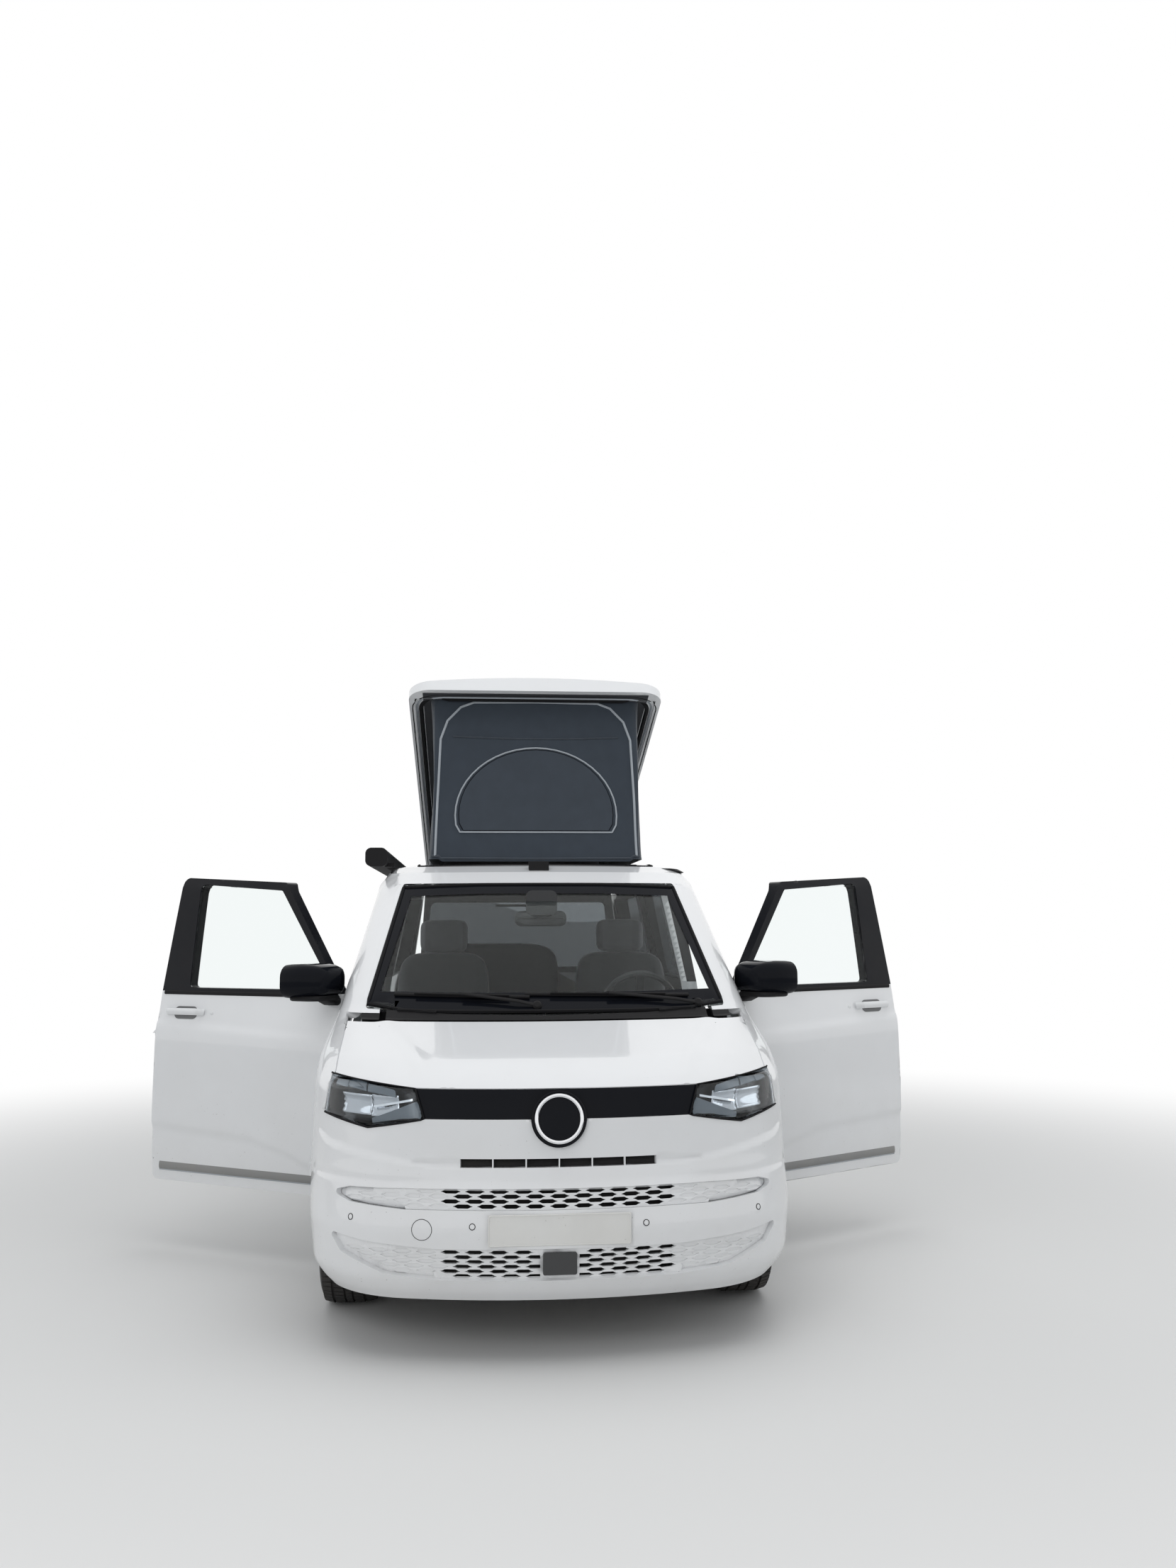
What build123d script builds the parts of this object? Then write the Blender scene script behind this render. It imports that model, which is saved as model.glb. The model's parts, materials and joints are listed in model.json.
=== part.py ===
"""Camper van with a raised pop-up roof and open front doors.

Millimetres. The van faces -Y, +X is its left (driver's) side, +Z is up.
The origin is on the ground, midway along the body. Places along the van are
given as distances behind the nose and turned into Y by at().
"""
from build123d import *
from collections import namedtuple
from math import cos, radians, sin, sqrt, tan
import os

# Driving dimensions of the body
overall_length = 5173.0
overall_width = 1941.0
roof_height = 1905.0
wheelbase = 3124.0
front_overhang = 925.0
track_width = 1640.0
tyre_radius = 345.0
tyre_width = 235.0
rim_radius = 222.0

# Walls and gaps
door_wall = 55.0
frame_wall = 95.0
door_clearance = 6.0
cover_wall = 30.0
roof_wall = 32.0
glass_inset = 3.0
glass_depth = 6.0
shut_gap = 6.0
seat_gap = 0.3
pivot_clearance = 0.3

# Plan bow of the front and of the rear
front_bow = 2200.0
rear_bow = 6000.0

# Main heights
belt_height = 1262.0
sill_height = 330.0
floor_height = 500.0
floor_thickness = 60.0
bonnet_edge_height = 965.0
strip_bottom_height = 862.0
arch_radius = 395.0

# Door hinge axis, as in the raised closed position of the door skin
hinge_x = 957.0
hinge_back = 1354.0
door_open_angle = 59.4
door_front = 1352.0
door_rear = 2470.0
wing_rear = 1337.0
slider_rear = 3600.0
tailgate_hinge_back = 4915.0
tailgate_hinge_height = 1841.0
bonnet_hinge_back = 850.0
bonnet_hinge_height = 1150.0
bonnet_hinge_x = 705.0
bonnet_rear_height = 1172.0
wing_corner_back = bonnet_hinge_back + 55.0
hinge_slot = 14.0

# Steering axes and the space that the steered front tyres sweep about them
kingpin_x = 655.0
steer_clearance = 14.0
wheelhouse_wall = 18.0
wheelhouse_top = 722.0

# Hexagonal openings of the two front grilles
hex_pitch = 88.0
hex_length = 70.0
hex_flat = 40.0
hex_height = 14.0
hex_row_pitch = 17.0
grille_open_half = 405.0
grille_inset = 4.0
grille_depth = 12.0
pocket_depth = 3.0

# Pop-up roof
lid_front = 1700.0
lid_hinge_back = 4650.0
lid_rear = 4660.0
lid_hinge_height = 1940.0
lid_half_width = 676.0
lid_bottom = 1912.0
lid_top = 1990.0
lid_rim = 30.0
lid_skin = 28.0
lid_open_angle = 17.6
lid_front_solid = 100.0
canvas_half_width = 560.0
canvas_front = 1852.0
canvas_rear = 4560.0
canvas_thickness = 6.0
roof_opening_front = 1900.0
roof_opening_rear = 3950.0
roof_opening_half = 500.0

os.makedirs("parts", exist_ok=True)


def at(back):
    """Y of a place that lies this far behind the nose."""
    return back - overall_length / 2


rear_wheel_back = front_overhang + wheelbase
half_width = overall_width / 2
wheel_x = track_width / 2
axle_height = tyre_radius
tyre_edge = (tyre_radius - 16, tyre_width / 2 - 10)
wheelhouse_reach = sqrt((wheel_x + tyre_edge[1] - kingpin_x) ** 2 + tyre_edge[0] ** 2) + steer_clearance

# Each row is the plan outline of the body at one height. front and rear are
# insets from the nose and the tail at the middle, narrow_* are insets from the
# half width at the front corner, at mid length and at the rear corner, and
# *_corner are the radii of the corners.
BodySection = namedtuple(
    "BodySection", "height front narrow_front narrow_mid narrow_rear front_corner rear rear_corner"
)
body_sections = [
    BodySection(215, 75, 90, 85, 100, 420, 100, 120),
    BodySection(300, 20, 26, 20, 36, 480, 33, 150),
    BodySection(470, 0, 9, 4, 16, 500, 0, 160),
    BodySection(690, 35, 3, 0, 9, 550, 23, 150),
    BodySection(860, 41, 3, 0, 9, 600, 48, 140),
    BodySection(bonnet_edge_height, 65, 3, 0, 9, 600, 55, 140),
    BodySection(1000, 120, 5, 0, 10, 590, 58, 140),
    BodySection(1060, 255, 11, 2, 13, 520, 63, 140),
    BodySection(1187, 660, 50, 15, 25, 280, 76, 140),
    BodySection(belt_height, 760, 67, 25, 40, 250, 83, 140),
    BodySection(1780, 1450, 170, 125, 155, 250, 233, 140),
    BodySection(1840, 1570, 200, 148, 180, 250, 258, 140),
    BodySection(1875, 1700, 240, 180, 215, 250, 303, 140),
    BodySection(1897, 1900, 300, 230, 265, 250, 373, 140),
    BodySection(roof_height, 2200, 370, 280, 320, 250, 473, 140),
]


def corner_points(crown_y, bow, corner, half, side):
    """Points of one end of a plan outline: arc end, corner middle and side start."""
    centre_x = half - corner
    drop = sqrt((bow - corner) ** 2 - centre_x**2)
    bow_centre_y = crown_y + side * bow
    centre_y = bow_centre_y - side * drop
    reach = bow / (bow - corner)
    tangent = (centre_x * reach, bow_centre_y - side * drop * reach)
    side_point = (half, centre_y)
    chord = Vector(tangent[0] + side_point[0], tangent[1] + side_point[1]) / 2
    away = (chord - Vector(centre_x, centre_y)).normalized()
    middle = Vector(centre_x, centre_y) + away * corner
    return tangent, (middle.X, middle.Y), side_point


def body_form(inset):
    """The solid shape of the whole body, drawn in by the inset."""
    top_drop = roof_wall * min(inset / door_wall, 1.0)
    with BuildPart() as form:
        for row in body_sections:
            height = row.height - (top_drop if row.height > 1700 else 0.0)
            if row is body_sections[0] and inset > 0:
                height -= 60
            half_front = half_width - row.narrow_front - inset
            half_mid = half_width - row.narrow_mid - inset
            half_rear = half_width - row.narrow_rear - inset
            front, front_mid, front_side = corner_points(
                at(row.front + inset), front_bow - inset, row.front_corner - inset, half_front, 1
            )
            rear, rear_mid, rear_side = corner_points(
                at(overall_length - row.rear - inset),
                rear_bow - inset, max(row.rear_corner - inset, 20), half_rear, -1,
            )
            with BuildSketch(Plane.XY.offset(height)):
                with BuildLine():
                    ThreePointArc((-front[0], front[1]), (0, at(row.front + inset)), front)
                    ThreePointArc(front, front_mid, front_side)
                    ThreePointArc(
                        front_side, (half_mid, (front_side[1] + rear_side[1]) / 2), rear_side
                    )
                    ThreePointArc(rear_side, rear_mid, rear)
                    ThreePointArc(
                        rear, (0, at(overall_length - row.rear - inset)), (-rear[0], rear[1])
                    )
                    ThreePointArc(
                        (-rear[0], rear[1]), (-rear_mid[0], rear_mid[1]), (-rear_side[0], rear_side[1])
                    )
                    ThreePointArc(
                        (-rear_side[0], rear_side[1]),
                        (-half_mid, (front_side[1] + rear_side[1]) / 2),
                        (-front_side[0], front_side[1]),
                    )
                    ThreePointArc(
                        (-front_side[0], front_side[1]), (-front_mid[0], front_mid[1]), (-front[0], front[1])
                    )
                make_face()
        loft(ruled=True)
    return form.part


def side_prism(outline, corner=0.0, grow=0.0, x_from=500.0, x_to=1100.0):
    """Prism through one side, from (distance behind nose, height) corners."""
    with BuildPart() as prism:
        with BuildSketch(Plane.YZ.offset(x_from)) as face:
            with BuildLine():
                Polyline(*[(at(back), height) for back, height in outline], close=True)
            make_face()
            if corner:
                fillet(face.vertices(), corner)
            if grow:
                offset(amount=grow)
        extrude(amount=x_to - x_from)
    return prism.part


def front_prism(outline, back_from, back_to, corner=0.0, grow=0.0):
    """Prism along the van, from (x, height) corners."""
    with BuildPart() as prism:
        with BuildSketch(Plane.XZ.offset(-at(back_from))) as face:
            with BuildLine():
                Polyline(*outline, close=True)
            make_face()
            if corner:
                fillet(face.vertices(), corner)
            if grow:
                offset(amount=grow)
        extrude(amount=-(back_to - back_from))
    return prism.part


def box(back_from, back_to, x_from, x_to, z_from, z_to):
    """Plain block between two places along, across and up."""
    with BuildPart(Plane(origin=((x_from + x_to) / 2, at((back_from + back_to) / 2), (z_from + z_to) / 2))) as block:
        Box(abs(x_to - x_from), abs(back_to - back_from), z_to - z_from)
    return block.part


def keep(node, name):
    """Label a finished sub-part and write it to its own file."""
    node.label = name
    export_step(node, f"parts/{name}.step")


# The nested shapes that walls, frames and panes are cut from
outer_form = body_form(0)
cover_form = body_form(cover_wall)
door_form = body_form(door_wall)
door_pocket_form = body_form(door_wall + door_clearance)
slider_pocket_form = body_form(door_wall + seat_gap)
frame_form = body_form(frame_wall)
strip_front = body_form(8)
pane_outer = body_form(glass_inset)
pane_inner = body_form(glass_inset + glass_depth)

with BuildPart() as wall_skin:
    add(outer_form)
    add(door_form, mode=Mode.SUBTRACT)
with BuildPart() as cover_skin:
    add(outer_form)
    add(cover_form, mode=Mode.SUBTRACT)
with BuildPart() as pane_skin:
    add(pane_outer)
    add(pane_inner, mode=Mode.SUBTRACT)

# Outlines seen from the side, as (distance behind the nose, height)
door_outline = [
    (door_front, sill_height), (door_front, 1240), (1800, 1795), (2450, 1832), (door_rear, sill_height),
]
door_window = [(1440, 1272), (1470, 1340), (1815, 1755), (2330, 1795), (2285, 1272)]
slider_outline = [
    (door_rear + shut_gap, sill_height), (2456, 1834), (3585, 1836), (slider_rear, sill_height),
]
slider_corner = 38
aperture_corner = slider_corner - 8
slider_window = [(2540, 1272), (2525, 1795), (3530, 1797), (3545, 1272)]
quarter_window = [(1085, 1256), (1318, 1256), (1560, 1560)]
rear_side_window = [(3670, 1272), (3660, 1797), (4700, 1775), (4850, 1272)]
bumper_joint = [(640, 100), (606, 560), (531, 862)]

# Outlines seen from the front, as (x, height)
lamp_outline = [(497, 862), (710, 824), (894, 856), (872, 1000), (533, 969)]
strip_outline = [(-496, strip_bottom_height), (496, strip_bottom_height), (531, 968), (-531, 968)]
bonnet_outline = [
    (-856, 1002), (-533, bonnet_edge_height + 6), (533, bonnet_edge_height + 6), (856, 1002),
    (856, bonnet_rear_height), (-856, bonnet_rear_height),
]
windscreen_outline = [(-785, 1222), (-400, 1203), (0, 1196), (400, 1203), (785, 1222), (668, 1782), (-668, 1782)]
tailgate_outline = [(-790, 622), (790, 622), (790, 1240), (700, 1836), (-700, 1836)]
tailgate_window = [(-720, 1270), (720, 1270), (655, 1760), (-655, 1760)]
tail_lamp_outline = [(800, 870), (980, 870), (980, 1225), (800, 1225)]


def arch_cutter(back, x_from=500.0):
    """Round wheel opening through one side."""
    with BuildPart() as cutter:
        with BuildSketch(Plane.YZ.offset(x_from)):
            with Locations((at(back), tyre_radius)):
                Circle(arch_radius)
        extrude(amount=1100 - x_from)
    return cutter.part


front_arch = arch_cutter(front_overhang)
rear_arch = arch_cutter(rear_wheel_back)
lamp_block = front_prism(lamp_outline, -100, 600)
bonnet_gap_block = front_prism(bonnet_outline, -100, 1000, grow=shut_gap)
windscreen_block = front_prism(windscreen_outline, 300, 2100, corner=12)
tailgate_block = front_prism(tailgate_outline, 4500, 5300, corner=40)
tailgate_gap_block = front_prism(tailgate_outline, 4500, 5300, corner=40, grow=shut_gap)
tail_lamp_block = front_prism(tail_lamp_outline, 4960, 5300)
both_front_arches = front_arch + front_arch.mirror(Plane.YZ)
both_rear_arches = rear_arch + rear_arch.mirror(Plane.YZ)
both_lamps = lamp_block + lamp_block.mirror(Plane.YZ)
both_tail_lamps = tail_lamp_block + tail_lamp_block.mirror(Plane.YZ)

# Long lens-shaped grille openings, as (x, height) of the right half from the middle
upper_grille = [(560, 618), (770, 610), (847, 584), (770, 558), (560, 544)]
lower_grille = [(450, 411), (700, 428), (848, 446), (800, 376), (640, 318), (450, 302)]
radar_half = 70.0
radar_heights = (312.0, 405.0)


def lens_prism(half_outline, grow=0.0):
    """Prism through the nose with the outline of a whole grille."""
    mirrored = [(-x, height) for x, height in reversed(half_outline)]
    return front_prism(half_outline + mirrored, -60, 500, corner=12, grow=grow)


def hex_prisms(top, rows, x_from, x_to):
    """Rows of long hexagonal prisms whose middles lie between two distances from the centre."""
    with BuildPart() as prisms:
        with BuildSketch(Plane.XZ.offset(-at(-60))):
            for row in range(rows):
                height = top - hex_row_pitch * row
                start = 0.0 if row % 2 else hex_pitch / 2
                for step in range(int(x_to / hex_pitch) + 1):
                    for side in (-1, 1):
                        x = side * (start + step * hex_pitch)
                        if not x_from <= abs(x) <= x_to or (x == 0 and side > 0):
                            continue
                        with BuildLine(Plane.XZ.offset(-at(-60))):
                            Polyline(
                                (x - hex_length / 2, height), (x - hex_flat / 2, height + hex_height / 2),
                                (x + hex_flat / 2, height + hex_height / 2), (x + hex_length / 2, height),
                                (x + hex_flat / 2, height - hex_height / 2),
                                (x - hex_flat / 2, height - hex_height / 2), close=True,
                            )
                        make_face()
        extrude(amount=-560)
    return prisms.part


# Front bumper cover, with its slot and the two grille openings
badge_radius = 99
slot_half = 365.0
slot_bar = 5.0
slot_count = 6
slot_heights = (691.0, 722.0)
badge_plane = Plane(origin=(0, at(32), 865), x_dir=(1, 0, 0), z_dir=(0, -0.990, 0.139))

with BuildPart() as front_bumper:
    add(cover_skin.part)
    add(
        side_prism([(-100, 100)] + bumper_joint + [(-100, 862)], x_from=-1100),
        mode=Mode.INTERSECT,
    )
    add(both_front_arches, mode=Mode.SUBTRACT)
    add(both_lamps, mode=Mode.SUBTRACT)
    add(box(-100, 6, -262, 262, 420, 535), mode=Mode.SUBTRACT)
    slot_pitch = 2 * slot_half / slot_count
    for index in range(slot_count):
        left = -slot_half + index * slot_pitch + slot_bar / 2
        add(box(-50, 200, left, left + slot_pitch - slot_bar, *slot_heights), mode=Mode.SUBTRACT)
    add(lens_prism(upper_grille), mode=Mode.SUBTRACT)
    add(lens_prism(lower_grille), mode=Mode.SUBTRACT)
    with BuildSketch(badge_plane):
        Circle(badge_radius + 4)
    extrude(amount=-90, mode=Mode.SUBTRACT)
keep(front_bumper.part, "front_bumper")

# Hexagonal grilles: open near the middle, closed pockets towards their tips
grille_face = body_form(grille_inset)
grille_back = body_form(grille_inset + grille_depth)
pocket_floor = body_form(grille_inset + pocket_depth)
GrilleRow = namedtuple("GrilleRow", "name outline top rows tip")
for grille in (
    GrilleRow("grille_upper", upper_grille, 608, 4, 740),
    GrilleRow("grille_lower", lower_grille, 397, 6, 680),
):
    with BuildPart() as pockets:
        add(hex_prisms(grille.top, grille.rows, grille_open_half, grille.tip))
        add(pocket_floor, mode=Mode.SUBTRACT)
    with BuildPart() as grille_plate:
        add(grille_face)
        add(grille_back, mode=Mode.SUBTRACT)
        add(lens_prism(grille.outline, grow=-seat_gap), mode=Mode.INTERSECT)
        openings = hex_prisms(grille.top, grille.rows, 0, grille_open_half)
        if grille.outline is lower_grille:
            openings = openings - box(-100, 600, -radar_half, radar_half, *radar_heights)
        add(openings, mode=Mode.SUBTRACT)
        add(pockets.part, mode=Mode.SUBTRACT)
    keep(grille_plate.part, grille.name)

with BuildPart() as front_strip:
    add(strip_front)
    add(cover_form, mode=Mode.SUBTRACT)
    add(front_prism(strip_outline, -100, 400), mode=Mode.INTERSECT)
    with BuildSketch(badge_plane):
        Circle(badge_radius)
    extrude(amount=-36)
keep(front_strip.part, "front_strip")

with BuildPart() as headlamp_left:
    add(wall_skin.part)
    add(lamp_block, mode=Mode.INTERSECT)
keep(headlamp_left.part, "headlamp_left")
with BuildPart() as headlamp_right:
    mirror(headlamp_left.part, about=Plane.YZ)
keep(headlamp_right.part, "headlamp_right")

with BuildPart() as wing_left:
    add(wall_skin.part)
    add(
        side_prism(
            bumper_joint + [(400, 862), (400, 1205), (wing_rear, 1205), (wing_rear, 100)]
        ),
        mode=Mode.INTERSECT,
    )
    add(bonnet_gap_block, mode=Mode.SUBTRACT)
    add(lamp_block, mode=Mode.SUBTRACT)
    add(front_arch, mode=Mode.SUBTRACT)
    add(front_prism([(0, 1160), (800, 1160), (800, 1300), (0, 1300)], 300, 1400), mode=Mode.SUBTRACT)
    add(box(300, wing_corner_back, 790, 870, 1160, 1215), mode=Mode.SUBTRACT)
keep(wing_left.part, "wing_left")
with BuildPart() as wing_right:
    mirror(wing_left.part, about=Plane.YZ)
keep(wing_right.part, "wing_right")

# The bonnet ends in an upright rear edge along the body's own plan outline there
with BuildPart() as behind_bonnet:
    add(outer_form)
    split(bisect_by=Plane.XY.offset(bonnet_rear_height), keep=Keep.BOTTOM)
    rear_plan = behind_bonnet.faces().sort_by(Axis.Z)[-1]
with BuildPart() as bonnet_rear_block:
    extrude(rear_plan, amount=-400)
with BuildPart() as bonnet:
    add(wall_skin.part)
    add(front_prism(bonnet_outline, -100, 1000), mode=Mode.INTERSECT)
    add(bonnet_rear_block.part, mode=Mode.SUBTRACT)
    for side in (-1, 1):
        add(box(760, 900, side * 800, side * 870, 1100, bonnet_hinge_height), mode=Mode.SUBTRACT)
        ear_x = side * bonnet_hinge_x
        add(box(680, bonnet_hinge_back, ear_x - 8, ear_x + 8, 1138, 1160))
        with Locations(Location((ear_x, at(bonnet_hinge_back), bonnet_hinge_height), (0, 90, 0))):
            Cylinder(13, 16)
            Cylinder(6 + pivot_clearance, 30, mode=Mode.SUBTRACT)
keep(bonnet.part, "bonnet")

# Side of the body: sill, pillars, rail and rear quarter in one panel, lapped by the doors
with BuildPart() as body_side_left:
    add(outer_form)
    add(frame_form, mode=Mode.SUBTRACT)
    add(
        side_prism(
            [(wing_rear, 200), (wing_rear, 1205), (700, 1205), (700, 1845), (5250, 1845), (5250, 200)],
            x_from=640,
        ),
        mode=Mode.INTERSECT,
    )
    add(side_prism(door_outline, 30, grow=shut_gap) - door_pocket_form, mode=Mode.SUBTRACT)
    add(
        side_prism([(1300, 324), (1300, 1250), (1420, 1250), (1420, 324)]) - door_pocket_form,
        mode=Mode.SUBTRACT,
    )
    add(
        side_prism(slider_outline, aperture_corner, grow=shut_gap) - slider_pocket_form,
        mode=Mode.SUBTRACT,
    )
    add(side_prism(door_outline, 30, grow=-32), mode=Mode.SUBTRACT)
    add(side_prism(slider_outline, aperture_corner, grow=-32), mode=Mode.SUBTRACT)
    add(rear_arch, mode=Mode.SUBTRACT)
    add(front_arch, mode=Mode.SUBTRACT)
    add(side_prism(quarter_window, 20), mode=Mode.SUBTRACT)
    add(side_prism(rear_side_window, 60), mode=Mode.SUBTRACT)
    add(windscreen_block, mode=Mode.SUBTRACT)
    add(tailgate_gap_block, mode=Mode.SUBTRACT)
    add(tail_lamp_block, mode=Mode.SUBTRACT)
    add(box(4400, 5300, 0, 1100, 100, 617), mode=Mode.SUBTRACT)
    add(box(600, 1100, 600, 720, 1200, 1240), mode=Mode.SUBTRACT)
    for height in (560, 1000):
        with Locations((hinge_x, at(hinge_back), height + 15)):
            Cylinder(9, 30)
        with Locations((hinge_x, at(hinge_back), height + 40)):
            Cylinder(4, 40)
        add(box(1338, 1346, 897, hinge_x, height, height + 30))
        add(box(1338, 1380, 880, 909, height, height + 30))
keep(body_side_left.part, "body_side_left")
with BuildPart() as body_side_right:
    mirror(body_side_left.part, about=Plane.YZ)
keep(body_side_right.part, "body_side_right")

# Roof panel with its sleeping-roof opening, down to the windscreen header
with BuildPart() as roof_panel:
    add(outer_form)
    add(door_form, mode=Mode.SUBTRACT)
    add(
        box(600, 5200, -1000, 1000, 1845, 2000) + box(600, 2100, -640, 640, 1700, 1846),
        mode=Mode.INTERSECT,
    )
    add(windscreen_block, mode=Mode.SUBTRACT)
    add(
        box(roof_opening_front, roof_opening_rear, -roof_opening_half, roof_opening_half, 1700, 2000),
        mode=Mode.SUBTRACT,
    )
    for side in (-1, 1):
        add(box(lid_hinge_back - 12, lid_hinge_back + 12, side * 560 - 20, side * 560 + 20, 1890, 1938))
        with Locations(Location((side * 560, at(lid_hinge_back), lid_hinge_height), (0, 90, 0))):
            Cylinder(12, 40)
        with Locations(Location((side * 590, at(lid_hinge_back), lid_hinge_height), (0, 90, 0))):
            Cylinder(6, 20)
    for side in (-1, 1):
        with Locations(Location((side * 400, at(tailgate_hinge_back), tailgate_hinge_height), (0, 90, 0))):
            Cylinder(9, 40)
        with Locations(Location((side * 435, at(tailgate_hinge_back), tailgate_hinge_height), (0, 90, 0))):
            Cylinder(4, 40)
        add(box(4860, 4912, side * 400 - 20, side * 400 + 20, 1842, 1849))
keep(roof_panel.part, "roof_panel")

with BuildPart() as windscreen:
    add(pane_skin.part)
    add(windscreen_block, mode=Mode.INTERSECT)
keep(windscreen.part, "windscreen")

# Doors, modelled shut and swung open about the hinge
def swung(part, side):
    """Turn a shut door piece to where the door stands open."""
    axis = Axis((side * hinge_x, at(hinge_back), 0), (0, 0, 1))
    return part.rotate(axis, -side * door_open_angle)


with BuildPart() as door_shut:
    add(wall_skin.part)
    add(side_prism(door_outline, 30), mode=Mode.INTERSECT)
    add(side_prism(door_window, 25), mode=Mode.SUBTRACT)
    for height in (560, 1000):
        with Locations((hinge_x, at(hinge_back), height + 32)):
            Cylinder(14, 70, mode=Mode.SUBTRACT)
        with Locations((hinge_x, at(hinge_back), height + 45.15)):
            Cylinder(9, 29.7)
        add(box(hinge_back + 4, hinge_back + 18, hinge_x - 6, hinge_x + 6, height + 30.3, height + 60))
        with Locations((hinge_x, at(hinge_back), height + 45)):
            Cylinder(4 + pivot_clearance, 60, mode=Mode.SUBTRACT)
with BuildPart() as door_glass_shut:
    add(pane_skin.part)
    add(side_prism(door_window, 25), mode=Mode.INTERSECT)
with BuildPart() as mirror_shut:
    with BuildSketch(Plane.XY.offset(1262)):
        with Locations((1088, at(1392))):
            RectangleRounded(215, 160, 45)
    extrude(amount=150)
    add(box(1395, 1445, 900, 1000, 1255, 1285))
    add(outer_form, mode=Mode.SUBTRACT)

for side, word in ((1, "left"), (-1, "right")):
    for shut, name in (
        (door_shut, "door"), (door_glass_shut, "door_glass"), (mirror_shut, "door_mirror"),
    ):
        with BuildPart() as opened:
            add(swung(shut.part if side > 0 else shut.part.mirror(Plane.YZ), side))
        keep(opened.part, f"{name}_{word}")

with BuildPart() as sliding_door_left:
    add(wall_skin.part)
    add(side_prism(slider_outline, slider_corner), mode=Mode.INTERSECT)
    add(side_prism(slider_window, 40), mode=Mode.SUBTRACT)
keep(sliding_door_left.part, "sliding_door_left")
with BuildPart() as sliding_door_right:
    mirror(sliding_door_left.part, about=Plane.YZ)
keep(sliding_door_right.part, "sliding_door_right")

with BuildPart() as side_glass_left:
    add(pane_skin.part)
    add(
        side_prism(slider_window, 40) + side_prism(quarter_window, 20)
        + side_prism(rear_side_window, 60),
        mode=Mode.INTERSECT,
    )
keep(side_glass_left.part, "side_glass_left")
with BuildPart() as side_glass_right:
    mirror(side_glass_left.part, about=Plane.YZ)
keep(side_glass_right.part, "side_glass_right")

with BuildPart() as tailgate:
    add(wall_skin.part)
    add(tailgate_block, mode=Mode.INTERSECT)
    add(front_prism(tailgate_window, 4500, 5300, corner=40), mode=Mode.SUBTRACT)
    add(box(overall_length - 52, 5300, -265, 265, 668, 802), mode=Mode.SUBTRACT)
    for side in (-1, 1):
        with Locations(Location((side * 400, at(tailgate_hinge_back), tailgate_hinge_height), (0, 90, 0))):
            Cylinder(14, 46, mode=Mode.SUBTRACT)
        with Locations(Location((side * 436, at(tailgate_hinge_back), tailgate_hinge_height), (0, 90, 0))):
            Cylinder(9, 26)
        add(box(4900, 4914, side * 436 - 13, side * 436 + 13, 1815, tailgate_hinge_height))
        with Locations(Location((side * 436, at(tailgate_hinge_back), tailgate_hinge_height), (0, 90, 0))):
            Cylinder(4 + pivot_clearance, 60, mode=Mode.SUBTRACT)
keep(tailgate.part, "tailgate")
with BuildPart() as tailgate_glass:
    add(pane_skin.part)
    add(front_prism(tailgate_window, 4500, 5300, corner=40), mode=Mode.INTERSECT)
keep(tailgate_glass.part, "tailgate_glass")
with BuildPart() as rear_bumper:
    add(wall_skin.part)
    add(box(4400, 5300, -1100, 1100, 180, 616), mode=Mode.INTERSECT)
    add(both_rear_arches, mode=Mode.SUBTRACT)
keep(rear_bumper.part, "rear_bumper")
with BuildPart() as tail_lamps:
    add(wall_skin.part)
    add(both_tail_lamps, mode=Mode.INTERSECT)
keep(tail_lamps.part, "tail_lamps")

# Floor with the inner wheel houses of the rear wheels
with BuildPart() as floor_pan:
    add(box(1330, 5118, -900, 900, floor_height - floor_thickness, floor_height))
    add(frame_form, mode=Mode.INTERSECT)
    for side in (-1, 1):
        inner, outer = side * 650, side * 1000
        add(box(3630, 4470, inner, side * 860, floor_height - floor_thickness, 800))
        add(box(3645, 4455, inner + side * 15, outer, 100, 785), mode=Mode.SUBTRACT)
        with Locations((side * kingpin_x, at(front_overhang), floor_height)):
            Cylinder(wheelhouse_reach + wheelhouse_wall + seat_gap, 4 * floor_thickness, mode=Mode.SUBTRACT)
keep(floor_pan.part, "floor_pan")

# Rear halves of the front wheelhouses, round the space that the steered tyres sweep
with BuildPart() as wheelhouses:
    for side in (-1, 1):
        with Locations((side * kingpin_x, at(front_overhang), wheelhouse_top / 2)):
            Cylinder(wheelhouse_reach + wheelhouse_wall, wheelhouse_top)
    add(box(1300, 1420, -850, 850, sill_height, wheelhouse_top), mode=Mode.INTERSECT)

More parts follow.
